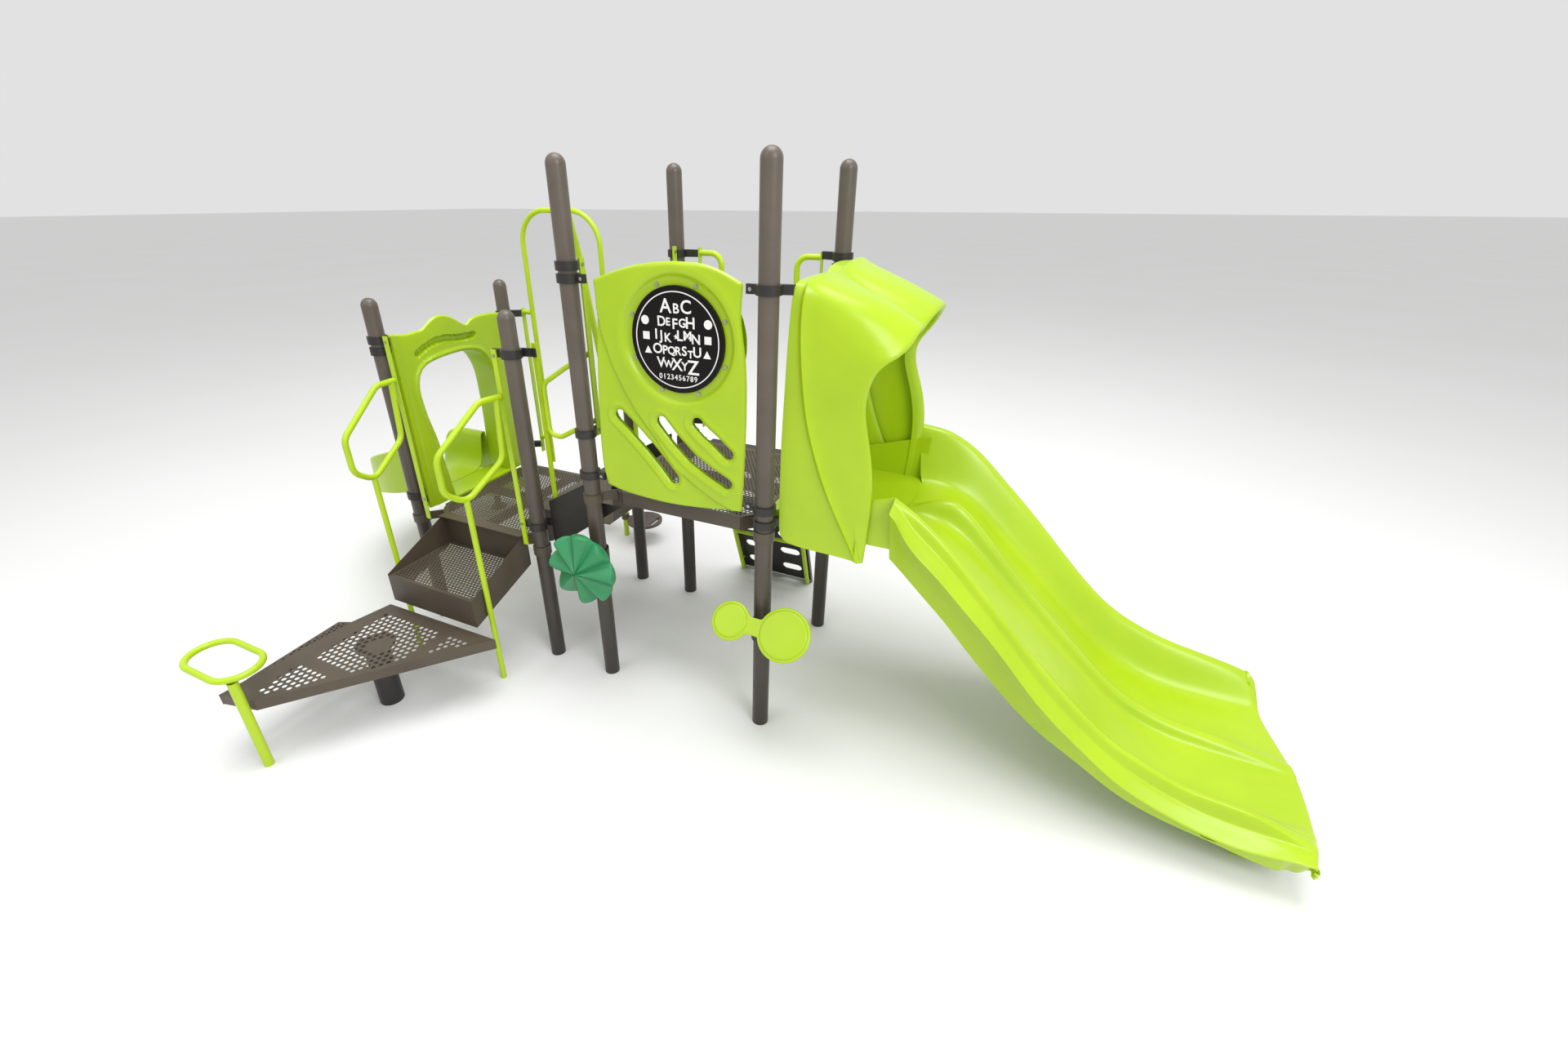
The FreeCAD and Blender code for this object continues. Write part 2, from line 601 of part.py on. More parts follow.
for points in SLOTS:
    start, middle, end = at_front(points)
    for a, b in ((start, middle), (middle, end)):
        along = (Vector(*b) - Vector(*a)).normalize()
        aside = Vector(along.z, 0, -along.x) * SLOT_R
        corners = [Vector(*a) + aside, Vector(*b) + aside, Vector(*b) - aside, Vector(*a) - aside]
        panel = panel.cut(prism([(c.x, c.y - 1, c.z) for c in corners], (0, 90, 0)))
    for x, y, z in (start, middle, end):
        panel = panel.cut(rod((x, y - 1, z), (x, y + 90, z), SLOT_R))
PANEL_LUGS = [(2334, 98, 175), (2334, 880, 916), (1345, 98, 150), (1345, 880, 918)]
for z, x0, x1 in PANEL_LUGS:
    panel = panel.fuse(box(x0, x1, -9, 9, z - 20, z + 20))
save("activity_panel", panel.removeSplitter())
save("letter_disc", rod((DISC_X, PANEL_FRONT + 6, DISC_Z),
                        (DISC_X, PANEL_FRONT + RECESS_DEPTH, DISC_Z), DISC_R))
disc_bolts = []
for k in range(8):
    turn = math.radians(22.5 + 45 * k)
    x, z = DISC_X + BOLT_RING * math.cos(turn), DISC_Z + BOLT_RING * math.sin(turn)
    disc_bolts.append(rod((x, PANEL_FRONT + RECESS_DEPTH - 5, z),
                          (x, PANEL_FRONT + RECESS_DEPTH, z), 9))
save("disc_bolts", Part.makeCompound(disc_bolts))

# ---- double slide: hood, entry, chute and foot ---------------------------------------
HOOD_Y = (30.0, BAY - 30.0)
HOOD_SIDE = 30.0          # the moulded side walls are double skinned
hood_outline = [(1080, 1160), (1080, 1656), (1094, 2127), (1118, 2390), (1225, 2368),
                (1450, 2290), (1610, 2200), (1625, 2165), (1600, 2125), (1539, 2096),
                (1475, 2037), (1445, 1869), (1491, 1681), (1519, 1480), (1503, 1150),
                (1465, 1129)]
hood_inside = [(1000, 2364), (1116, 2362), (1225, 2341), (1450, 2263), (1580, 2188),
               (1600, 2160), (1590, 2135), (1590, 1000), (1000, 1000)]
hood = prism([(x, HOOD_Y[0], z) for x, z in hood_outline], (0, HOOD_Y[1] - HOOD_Y[0], 0))
entry_y = (HOOD_Y[0] + HOOD_SIDE, HOOD_Y[1] - HOOD_SIDE)
hood = hood.cut(prism([(x, entry_y[0], z) for x, z in hood_inside],
                      (0, entry_y[1] - entry_y[0], 0)))
save("slide_hood", hood)

SLIDE_WALL = 12.0
ENTRY_Z = HIGH_DECK_Z + 5.0
CHUTE_X0 = 1611.0
entry_x = (BAY - DECK_INSET, CHUTE_X0 - 0.5)
entry_side = [(entry_x[0], ENTRY_Z - SLIDE_WALL), (entry_x[0], 1290), (entry_x[1], 1490),
              (entry_x[1], ENTRY_Z - SLIDE_WALL)]
entry = prism([(x, entry_y[0], z) for x, z in entry_side], (0, entry_y[1] - entry_y[0], 0))
entry = entry.cut(box(entry_x[0] - 1, entry_x[1] + 1, entry_y[0] + SLIDE_WALL,
                      entry_y[1] - SLIDE_WALL, ENTRY_Z, 1600))
save("slide_entry", entry)

CREST_X, CREST_R = 1650.0, 400.0
SLOPE = math.radians(43)
SAG_X, SAG_R = 2640.0, 700.0
RUN_OUT = math.radians(3)


def bed_height(x):
    """Height of the lanes: level, crest, straight slope, sag and run out."""
    crest_end = CREST_X + CREST_R * math.sin(SLOPE)
    crest_z = ENTRY_Z - CREST_R * (1 - math.cos(SLOPE))
    sag_z = crest_z - (SAG_X - crest_end) * math.tan(SLOPE)
    sag_end = SAG_X + SAG_R * (math.sin(SLOPE) - math.sin(RUN_OUT))
    if x <= CREST_X:
        return ENTRY_Z
    if x <= crest_end:
        return ENTRY_Z - CREST_R + math.sqrt(CREST_R ** 2 - (x - CREST_X) ** 2)
    if x <= SAG_X:
        return crest_z - (x - crest_end) * math.tan(SLOPE)
    centre_x = SAG_X + SAG_R * math.sin(SLOPE)
    centre_z = sag_z + SAG_R * math.cos(SLOPE)
    if x <= sag_end:
        return centre_z - math.sqrt(SAG_R ** 2 - (centre_x - x) ** 2)
    return centre_z - SAG_R * math.cos(RUN_OUT) - (x - sag_end) * math.tan(RUN_OUT)


def along(table, x):
    """Straight line interpolation in a list of (x, value)."""
    if x <= table[0][0]:
        return table[0][1]
    for (xa, va), (xb, vb) in zip(table, table[1:]):
        if x <= xb:
            return va + (vb - va) * (x - xa) / (xb - xa)
    return table[-1][1]


# heights above the lanes, by distance along the slide
HUMP = [(1610, 6), (1750, 84), (1860, 128), (2240, 76), (3020, 70), (3330, 46), (3520, 20)]
NEAR_RIM = [(1610, 248), (1700, 200), (1857, 130), (2100, 90), (2370, 60), (2593, 68),
            (2812, 98), (3017, 92), (3254, 82), (3413, 40), (3492, 22)]
FAR_RIM = [(1610, 290), (1863, 240), (2218, 228), (2538, 196), (2865, 216), (3279, 172),
           (3400, 142), (3530, 70)]
LEDGE = [(1610, 205), (1640, 180), (1706, 82), (1893, -4), (2133, -22), (2366, -55),
         (2616, -36), (2904, -20), (3217, -40), (3420, -6), (3500, 0)]
SKIRT = [(1610, -30), (1720, -110), (1841, -184), (2092, -229), (2339, -226), (2642, -124),
         (3050, -80), (3297, -117), (3491, -150)]
CHUTE_FAR = 1060.0


def chute_section(x):
    """Skirt, near ledge and rim, two lanes with a hump between, far rim and skirt."""
    bed = bed_height(x)
    near, far = bed + along(NEAR_RIM, x), bed + along(FAR_RIM, x)
    hump, skirt, ledge = bed + along(HUMP, x), bed + along(SKIRT, x), bed + along(LEDGE, x)
    points = [(-30, skirt), (-30, ledge), (0, (ledge + near) / 2), (45, near), (80, near),
              (112, (near + bed) / 2 + 8), (150, bed + 16), (215, bed), (330, bed),
              (410, bed + 12), (470, max(hump - 15, bed + 14)), (510, max(hump, bed + 16)),
              (550, max(hump - 15, bed + 14)), (610, bed + 12), (690, bed), (810, bed),
              (890, bed + 22), (955, (far + bed) / 2), (1000, far - 8), (1025, far),
              (1045, far - 8), (CHUTE_FAR, far - 40), (CHUTE_FAR, skirt)]
    closed = points + list(reversed(offset_profile(points, SLIDE_WALL)))
    return [(x, y, z) for y, z in closed]


CHUTE_STATIONS = [CHUTE_X0, 1650, 1700, 1760, 1830, 1900, 2000, 2200, 2420, 2640, 2740, 2840,
                  2940, 3040, 3140, 3280, 3400, 3550]
EXIT_PLAN = [(1600, -80), (3470, -80), (3480, -30), (3504, 70), (3526, 286), (3528, 450),
             (3512, 601), (3480, 791), (3452, 1000), (3440, 1100), (1600, 1100)]
chute = loft_shell([chute_section(x) for x in CHUTE_STATIONS])
chute = chute.common(prism([(x, y, 0) for x, y in EXIT_PLAN], (0, 0, 1700)))
save("slide_chute", chute)

FOOT_X = (3180.0, 3410.0)
foot_top = [(x, bed_height(x) - SLIDE_WALL + 1.0) for x in FOOT_X]
foot_side = [foot_top[0], foot_top[1], (FOOT_X[1], 130), (3385, 45), (3345, 0), (3285, 0),
             (3220, 45), (3190, 130)]
save("slide_foot", prism([(x, 150, z) for x, z in foot_side], (0, 660, 0)).cut(chute))

# ---- leaning climbing wall at the back of the high deck -------------------------------
WALL_X = (210.0, 806.0)
WALL_RAILS = (239.0, 779.0)
WALL_FOOT_Y = 1474.0
WALL_TOP_Y = BAY - DECK_INSET + 22.0
WALL_SET = 42.0           # from the rails' centre line to the plate, square to it
WALL_SHEET = 5.0
WALL_ROWS = 7
lean = math.atan2(WALL_FOOT_Y - WALL_TOP_Y, HIGH_DECK_Z)
outward = Vector(0, math.cos(lean), math.sin(lean))
down_wall = Vector(0, math.sin(lean), -math.cos(lean))
rail_top = Vector(0, WALL_TOP_Y, HIGH_DECK_Z)


def on_wall(x, distance, out):
    """Point at a distance down the wall from deck level, out from the rails' line."""
    spot = rail_top + down_wall * distance + outward * out
    return (x, spot.y, spot.z)


wall_length = HIGH_DECK_Z / math.cos(lean)
plate_bottom = wall_length + WALL_SET * math.tan(lean) - 4.0
plate_start = WALL_SET * math.tan(lean) + 4.0
plate = prism([on_wall(WALL_X[0], plate_start, WALL_SET),
               on_wall(WALL_X[0], plate_bottom, WALL_SET),
               on_wall(WALL_X[0], plate_bottom, WALL_SET + WALL_SHEET),
               on_wall(WALL_X[0], plate_start, WALL_SET + WALL_SHEET)],
              (WALL_X[1] - WALL_X[0], 0, 0))
for x in (WALL_X[0], WALL_X[1] - WALL_SHEET):
    plate = plate.fuse(prism([on_wall(x, plate_start, 16), on_wall(x, plate_bottom - 12, 16),
                              on_wall(x, plate_bottom, WALL_SET + 2),
                              on_wall(x, plate_start, WALL_SET + 2)], (WALL_SHEET, 0, 0)))
lip_corner = on_wall(0, plate_start, WALL_SET + WALL_SHEET)
plate = plate.fuse(box(WALL_X[0], WALL_X[1], BAY - DECK_INSET, lip_corner[1],
                       lip_corner[2] - WALL_SHEET, lip_corner[2]))
HOLE_HALF = 42.0
HOLE_R = 34.0
for row in range(WALL_ROWS):
    distance = wall_length - 110.0 - row * 183.0
    for x in (366.0, 650.0):
        a, b = (on_wall(x, distance, WALL_SET - 20), on_wall(x, distance, WALL_SET + 30))
        for shift in (-HOLE_HALF, HOLE_HALF):
            plate = plate.cut(rod((x + shift, a[1], a[2]), (x + shift, b[1], b[2]), HOLE_R))
        corners = [on_wall(x - HOLE_HALF, distance - HOLE_R, WALL_SET - 20),
                   on_wall(x + HOLE_HALF, distance - HOLE_R, WALL_SET - 20),
                   on_wall(x + HOLE_HALF, distance + HOLE_R, WALL_SET - 20),
                   on_wall(x - HOLE_HALF, distance + HOLE_R, WALL_SET - 20)]
        plate = plate.cut(prism(corners, tuple(outward * 50)))
save("climbing_wall_plate", plate.removeSplitter())

rail_parts = []
for x in WALL_RAILS:
    rail_parts.append(rod(on_wall(x, 20, 0), on_wall(x, wall_length - 12, 0), RUN_R))
    for distance in (150, 520, 900, 1230):
        rail_parts.append(rod(on_wall(x, distance, 0), on_wall(x, distance, WALL_SET), 9))
    rail_parts.append(box(x - 20, x + 20, BAY - DECK_INSET, BAY - DECK_INSET + 6,
                          HIGH_DECK_Z - 70, HIGH_DECK_Z - 12))
    rail_parts.append(box(x - 4, x + 4, BAY - DECK_INSET, WALL_TOP_Y + 14,
                          HIGH_DECK_Z - 60, HIGH_DECK_Z - 24))
rail_parts.append(rod(on_wall(WALL_RAILS[0], 880, 0), on_wall(WALL_RAILS[1], 880, 0), 13.5))
save("climbing_wall_rails", fuse(rail_parts))

# ---- hand loops either side of the climbing wall --------------------------------------
LOOP_Y = BAY + 44.0
LOOP_BAR_X = 130.0
LOOP_REACH = 272.0
LOOP_LOW, LOOP_HIGH = 1345.0, 2378.0


def hand_loop(side):
    """Upright loop standing off its flat bar towards the opening."""
    middle = BAY / 2
    inner = middle - side * (middle - LOOP_BAR_X - BAR_T / 2)
    outer = middle - side * (middle - LOOP_REACH)
    route = [(inner, LOOP_Y, LOOP_HIGH), (outer, LOOP_Y, LOOP_HIGH), (outer, LOOP_Y, LOOP_LOW),
             (inner, LOOP_Y, LOOP_LOW)]
    return welded_tubes([route], RUN_R, RUN_WALL, 80)


save("hand_loops", Part.makeCompound([hand_loop(1), hand_loop(-1)]))
save("hand_loop_bars", Part.makeCompound([
    box(x - BAR_T / 2, x + BAR_T / 2, LOOP_Y - BAR_W / 2, LOOP_Y + BAR_W / 2,
        LOOP_LOW - 40, LOOP_HIGH + 30) for x in (LOOP_BAR_X, BAY - LOOP_BAR_X)]))

# ---- pair of play drums on the front right post ---------------------------------------
DRUM_TILT = math.radians(45)
DRUM_Y, DRUM_Z = -140.0, 750.0
DRUMS = [(1187.0, 138.0, 92.0), (898.0, 104.0, 66.0)]     # centre x, rim and base radius
DRUM_DEPTH = 120.0
HEAD_LIFT = 8.0
drum_axis = Vector(0, -math.cos(DRUM_TILT), math.sin(DRUM_TILT))


def on_drum(x, lift):
    """Point on a drum's axis, lifted from the rim plate along it."""
    spot = Vector(x, DRUM_Y, DRUM_Z) + drum_axis * lift
    return (spot.x, spot.y, spot.z)


drum_parts = []
for x, rim, base in DRUMS:
    drum_parts.append(rod(on_drum(x, -14), on_drum(x, 0), rim))
    low = Vector(*on_drum(x, -DRUM_DEPTH))
    drum_parts.append(Part.makeCone(base, rim - 14, DRUM_DEPTH - 10, low, drum_axis))
(big_x, big_r, _), (small_x, small_r, _) = DRUMS
plate_run = Vector(0, math.sin(DRUM_TILT), math.cos(DRUM_TILT))
waist = []
for x, half in ((small_x, small_r - 14), (1030.0, 46.0), (big_x, big_r - 20),
                (big_x, 20 - big_r), (1030.0, -46.0), (small_x, 14 - small_r)):
    spot = Vector(*on_drum(x, -14)) + plate_run * half
    waist.append((spot.x, spot.y, spot.z))
drum_parts.append(prism(waist, tuple(drum_axis * 14)))
save("drum_body", fuse(drum_parts))
save("drum_heads", Part.makeCompound([
    rod(on_drum(x, 0), on_drum(x, HEAD_LIFT), rim - 16) for x, rim, base in DRUMS]))


def clamp(x, y, z, height, ears):
    """Ring round a post with flat ears, each given by its plan from the post's centre."""
    whole = rod((x, y, z - height / 2), (x, y, z + height / 2), POST_R + 11)
    for ear in ears:
        whole = whole.fuse(prism([(x + a, y + b, z - height / 2) for a, b in ear],
                                 (0, 0, height)))
    return whole.cut(rod((x, y, z - height), (x, y, z + height), POST_R + FIT)).removeSplitter()


def turned(ear, flip_x=1, flip_y=1):
    return [(a * flip_x, b * flip_y) for a, b in ear]


def arm_to_drums():
    """Arm that rises square to the tilted plate from the clamp."""
    web = [(1004.0, -POST_R - 4, 690), (1004.0, -POST_R - 4, 610)]
    for half in (-34, 34):
        spot = Vector(*on_drum(1004.0, -14)) + plate_run * half
        web.append((1004.0, spot.y, spot.z))
    return prism(web, (24, 0, 0))


drum_hold = clamp(BAY, 0, 640, 110, []).fuse(arm_to_drums())
drum_hold = drum_hold.cut(rod((BAY, 0, 400), (BAY, 0, 900), POST_R + FIT))
save("drum_clamp", drum_hold)

# ---- pleated wheel on the front left post ---------------------------------------------
WHEEL_Z = 832.0
WHEEL_R = 214.0
WHEEL_Y = (-128.0, -150.0, -196.0, -236.0)      # back face, rim, crest ring, tip
LOBES = 8
AXLE_R = 10.0
AXLE_PLAY = 0.05


def lobed(y, radius, depth):
    """Scalloped outline: round lobes that meet in creases."""
    points = []
    steps = LOBES * 6
    for k in range(steps):
        turn = 2 * math.pi * k / steps
        swell = abs(math.cos(LOBES * turn / 2))
        r = radius * (1 - depth * (1 - swell))
        points.append((r * math.sin(turn), y, WHEEL_Z + r * math.cos(turn)))
    return points


wheel = loft_shell([lobed(WHEEL_Y[0], WHEEL_R - 10, 0.09), lobed(WHEEL_Y[1], WHEEL_R, 0.09),
                    lobed(WHEEL_Y[2], WHEEL_R * 0.60, 0.14),
                    lobed(WHEEL_Y[3], WHEEL_R * 0.08, 0.0)])
wheel = wheel.cut(rod((0, WHEEL_Y[0] + 1, WHEEL_Z), (0, WHEEL_Y[2], WHEEL_Z), AXLE_R + AXLE_PLAY))
save("star_wheel", wheel)
AXLE_BACK = -POST_R - 20.0
axle = rod((0, AXLE_BACK, WHEEL_Z), (0, WHEEL_Y[2] + 2, WHEEL_Z), AXLE_R)
axle = axle.fuse(rod((0, AXLE_BACK, WHEEL_Z), (0, WHEEL_Y[0] + 0.5, WHEEL_Z), 20))
save("star_wheel_axle", axle)
save("star_wheel_clamp", clamp(0, 0, WHEEL_Z, 110, [[(-28, -40), (-28, AXLE_BACK),
                                                   (28, AXLE_BACK), (28, -40)]]))

# ---- clamps on the posts --------------------------------------------------------------
PANEL_EAR = [(40, -9), (98, -9), (98, 9), (40, 9)]
PANEL_EAR_TOP_RIGHT = [(-40, -9), (-100, -9), (-100, 9), (-40, 9)]
GAP_HIGH_EAR = [(6, 44), (22.5, 46), (22.5, 93), (10.5, 93)]
GAP_LOW_EAR = [(20, 45), (74, 61), (104, 61), (104, 71), (60, 71), (0, 52)]
LOOP_EAR = [(40, 6), (126, 30), (126, 58), (24, 50)]
HOOD_EAR_LOW = [(42, 14), (64, 31), (64, 58), (24, 50)]
HOOD_EAR_HIGH = [(42, 14), (95, 31), (95, 58), (24, 50)]
HANDRAIL_LEFT_EAR = [(40, -20), (122, -26), (122, -16), (40, 14)]
HANDRAIL_RIGHT_EAR = [(-40, -20), (-109, -26), (-109, -16), (-40, 14)]
CLOUD_EAR = [(-12, 45), (-12, 62), (12, 62), (12, 45)]
CLOUD_EAR_BACK = [(-12, -45), (-12, -61), (12, -61), (12, -45)]
ARCH_EAR = [(40, 26), (100, 70), (100, 98), (12, 52)]
TALL = 44.0

high_clamps = [
    clamp(0, 0, 2334, 40, [PANEL_EAR]), clamp(0, 0, 1345, 40, [PANEL_EAR]),
    clamp(0, 0, 2389, 40, [GAP_HIGH_EAR]), clamp(0, 0, 1575, 40, [GAP_HIGH_EAR]),
    clamp(BAY, 0, 2334, 40, [PANEL_EAR_TOP_RIGHT, HOOD_EAR_HIGH]),
    clamp(BAY, 0, 1345, 40, [turned(PANEL_EAR, -1)]), clamp(BAY, 0, 1268, 40, [HOOD_EAR_LOW]),
    clamp(0, BAY, 2375, 40, [LOOP_EAR, turned(GAP_HIGH_EAR, 1, -1)]),
    clamp(0, BAY, 1575, 40, [turned(GAP_HIGH_EAR, 1, -1)]),
    clamp(0, BAY, 1345, 40, [LOOP_EAR]),
    clamp(BAY, BAY, 2389, 40, [turned(LOOP_EAR, -1)]),
    clamp(BAY, BAY, 2334, 40, [turned(HOOD_EAR_HIGH, 1, -1)]),
    clamp(BAY, BAY, 1345, 40, [turned(LOOP_EAR, -1)]),
    clamp(BAY, BAY, 1268, 40, [turned(HOOD_EAR_LOW, 1, -1)])]
save("high_post_clamps", Part.makeCompound(high_clamps))

low_clamps = [
    clamp(LOW_X0, 0, 1930, TALL, [HANDRAIL_LEFT_EAR]),
    clamp(LOW_X0, 0, 1868, TALL, [CLOUD_EAR]),
    clamp(LOW_X0, 0, 940, TALL, [HANDRAIL_LEFT_EAR, CLOUD_EAR]),
    clamp(LOW_X1, 0, 1943, TALL, [HANDRAIL_RIGHT_EAR, GAP_LOW_EAR]),
    clamp(LOW_X1, 0, 940, TALL, [HANDRAIL_RIGHT_EAR, GAP_LOW_EAR]),
    clamp(LOW_X0, BAY, 1930, TALL, [ARCH_EAR]),
    clamp(LOW_X0, BAY, 1868, TALL, [CLOUD_EAR_BACK]),
    clamp(LOW_X0, BAY, 940, TALL, [ARCH_EAR, CLOUD_EAR_BACK]),
    clamp(LOW_X1, BAY, 1943, TALL, [turned(ARCH_EAR, -1), turned(GAP_LOW_EAR, 1, -1)]),
    clamp(LOW_X1, BAY, 940, TALL, [turned(ARCH_EAR, -1), turned(GAP_LOW_EAR, 1, -1)])]
save("low_post_clamps", Part.makeCompound(low_clamps))

BOLT_R = 8.0
BOLT_H = 6.0
heads = []
for z in (1930, 940):
    for x in rail_bars.values():
        heads.append(rod((x, RAIL_BAR_Y - BAR_T / 2 - BOLT_H, z), (x, RAIL_BAR_Y - BAR_T / 2, z),
                         BOLT_R))
for z in (1914, 940):
    for side in (-1, 1):
        x = LOW_MID + side * (ARCH_HALF + 82.2)
        heads.append(rod((x, ARCH_Y - 8, z), (x - side * BOLT_H, ARCH_Y - 8, z), BOLT_R))
for z in (1943, 940):
    for y, way in ((GAP_RAIL_Y + BAR_T / 2, 1), (BAY - GAP_RAIL_Y - BAR_T / 2, -1)):
        heads.append(rod((gap_bar_x - 3, y, z), (gap_bar_x - 3, y + way * BOLT_H, z), BOLT_R))
for z in (2389, 1575):
    for y in (GAP_RAIL_Y, BAY - GAP_RAIL_Y):
        heads.append(rod((HIGH_BAR_X + BAR_T, y, z), (HIGH_BAR_X + BAR_T + BOLT_H, y, z), BOLT_R))
for z in (2334, 1345):
    for x in (80, BAY - 80):
        heads.append(rod((x, -9 - BOLT_H, z), (x, -9, z), BOLT_R))
save("bar_bolts", Part.makeCompound(heads))
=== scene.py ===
import json
import math
import bpy
from mathutils import Matrix, Vector


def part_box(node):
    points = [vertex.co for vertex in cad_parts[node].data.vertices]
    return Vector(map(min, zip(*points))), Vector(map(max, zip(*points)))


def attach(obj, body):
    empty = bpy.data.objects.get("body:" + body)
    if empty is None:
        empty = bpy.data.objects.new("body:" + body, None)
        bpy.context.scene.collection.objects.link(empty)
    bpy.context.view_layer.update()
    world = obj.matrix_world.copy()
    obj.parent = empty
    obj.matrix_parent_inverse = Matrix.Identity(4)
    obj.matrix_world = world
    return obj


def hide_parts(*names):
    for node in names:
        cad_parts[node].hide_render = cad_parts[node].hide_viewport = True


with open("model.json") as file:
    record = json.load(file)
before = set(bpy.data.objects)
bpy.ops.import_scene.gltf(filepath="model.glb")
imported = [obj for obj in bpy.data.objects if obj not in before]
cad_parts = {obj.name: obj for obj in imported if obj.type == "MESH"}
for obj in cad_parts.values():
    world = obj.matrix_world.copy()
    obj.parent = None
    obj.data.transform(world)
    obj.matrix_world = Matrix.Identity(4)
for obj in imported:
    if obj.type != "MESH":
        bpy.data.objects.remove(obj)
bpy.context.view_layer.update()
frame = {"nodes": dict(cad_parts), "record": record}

# ---- camera and studio ----------------------------------------------------------------
# A wide view from the front right corner, a little above the high deck's panel, in a
# white studio with soft lights over the left shoulder and from the right, and a broad
# one high overhead.
camera = bpy.data.cameras.new("camera")
camera.sensor_width = 36
camera.lens = 14.52
camera.shift_x = 0.0292
camera.shift_y = -0.0042
viewpoint = bpy.data.objects.new("camera", camera)
viewpoint.location = (2.054, -2.507, 2.667)
viewpoint.rotation_euler = (math.pi / 2 - 0.4657, 0, 0.4387)
bpy.context.scene.collection.objects.link(viewpoint)
bpy.context.scene.camera = viewpoint
bpy.context.scene.view_settings.view_transform = "Standard"

for light_name, watts, width, spot, turn in [
        ("softbox_left", 60, 4.0, (-2.5, -4.5, 6.0), (40, 0, -25)),
        ("softbox_right", 190, 3.0, (5.5, -3.0, 5.0), (45, 0, 50)),
        ("softbox_top", 680, 6.0, (0.8, 0.6, 10.0), (0, 0, 0))]:
    lamp = bpy.data.lights.new(light_name, "AREA")
    lamp.energy = watts
    lamp.size = width
    stand = bpy.data.objects.new(light_name, lamp)
    stand.location = spot
    stand.rotation_euler = [math.radians(angle) for angle in turn]
    bpy.context.scene.collection.objects.link(stand)

studio = bpy.data.worlds.new("studio")
bpy.context.scene.world = studio
studio.use_nodes = True
studio.node_tree.nodes["Background"].inputs[0].default_value = (1, 1, 1, 1)
studio.node_tree.nodes["Background"].inputs[1].default_value = 0.76


def linear(hex_value):
    """The linear values that shaders take, from an sRGB hex colour."""
    channels = [int(hex_value[i:i + 2], 16) / 255 for i in (0, 2, 4)]
    return (*[c / 12.92 if c <= 0.04045 else ((c + 0.055) / 1.055) ** 2.4
              for c in channels], 1)


def add_node(material, kind, settings=None, links=None):
    """Adds a shader node, gives it its settings and joins its inputs."""
    node = material.node_tree.nodes.new(kind)
    for key, value in (settings or {}).items():
        if isinstance(key, int) or key in node.inputs:
            node.inputs[key].default_value = value
        else:
            setattr(node, key, value)
    for key, source in (links or {}).items():
        material.node_tree.links.new(source, node.inputs[key])
    return node


def new_material(name):
    """An empty material with its shader and the piece's own coordinates."""
    material = bpy.data.materials.new(name)
    material.use_nodes = True
    material.node_tree.nodes.clear()
    shader = add_node(material, "ShaderNodeBsdfPrincipled")
    add_node(material, "ShaderNodeOutputMaterial", None, {"Surface": shader.outputs[0]})
    place = add_node(material, "ShaderNodeTexCoord").outputs["Object"]
    return material, shader, place


# studio paper: matt white, with the slight cloudiness of a painted floor
paper, paper_shader, paper_place = new_material("studio_paper")
paper_cloud = add_node(paper, "ShaderNodeTexNoise", {"Scale": 0.4, "Detail": 2.0},
                       {"Vector": paper_place})
paper_tone = add_node(paper, "ShaderNodeValToRGB", None, {"Fac": paper_cloud.outputs[0]})
paper_tone.color_ramp.elements[0].color = linear("E4E4E3")
paper_tone.color_ramp.elements[1].color = linear("E9E9E9")
paper.node_tree.links.new(paper_tone.outputs[0], paper_shader.inputs["Base Color"])
paper_shader.inputs["Roughness"].default_value = 0.9
bpy.ops.object.select_all(action="DESELECT")
bpy.ops.mesh.primitive_plane_add(size=300, location=(0, 0, 0))
floor = bpy.context.object
floor.name = "studio_floor"
floor.data.materials.append(paper)

# ---- posts, rails and clamps: powder-coated steel -----------------------------------------
# Galvanised steel tube and cast aluminium clamps, baked in polyester powder: an even, half
# glossy skin with a fine orange peel, a little dull where hands and weather reach it.


def powder_coat(name, face, weathered, rough, low=None):
    """Polyester powder paint: cloudy tone (300 mm), 4 mm orange peel, dull patches; a low colour
    paints ground shade towards the bottom.
    """
    material, shader, place = new_material(name)
    cloud = add_node(material, "ShaderNodeTexNoise",
                     {"Scale": 3.2, "Detail": 5.0, "Roughness": 0.6}, {"Vector": place})
    tone = add_node(material, "ShaderNodeValToRGB", None, {"Fac": cloud.outputs[0]})
    tone.color_ramp.elements[0].position = 0.35
    tone.color_ramp.elements[0].color = linear(weathered)
    tone.color_ramp.elements[1].position = 0.6
    tone.color_ramp.elements[1].color = linear(face)
    colour_out = tone.outputs[0]
    # low: the colour grows darker from 1.9 m down to 0.2 m, painted ground shade
    if low:
        height = add_node(material, "ShaderNodeSeparateXYZ", None, {"Vector": place})
        ground_shade_fade = add_node(material, "ShaderNodeMapRange",
                        {"From Min": 0.2, "From Max": 1.9, "To Min": 1.0, "To Max": 0.0},
                        {"Value": height.outputs["Z"]})
        ground_shade_mix = add_node(material, "ShaderNodeMixRGB", {"Color2": linear(low)},
                          {"Fac": ground_shade_fade.outputs[0], "Color1": colour_out})
        colour_out = ground_shade_mix.outputs[0]
    material.node_tree.links.new(colour_out, shader.inputs["Base Color"])
    dull = add_node(material, "ShaderNodeTexNoise", {"Scale": 14.0, "Detail": 3.0},
                    {"Vector": place})
    gloss = add_node(material, "ShaderNodeMapRange",
                     {"To Min": rough - 0.07, "To Max": rough + 0.09},
                     {"Value": dull.outputs[0]})
    material.node_tree.links.new(gloss.outputs[0], shader.inputs["Roughness"])
    peel = add_node(material, "ShaderNodeTexNoise", {"Scale": 260.0, "Detail": 2.0},
                    {"Vector": place})
    bump = add_node(material, "ShaderNodeBump", {"Strength": 0.12, "Distance": 0.0006},
                    {"Height": peel.outputs[0]})
    material.node_tree.links.new(bump.outputs[0], shader.inputs["Normal"])
    shader.inputs["Specular IOR Level"].default_value = 0.5
    return material
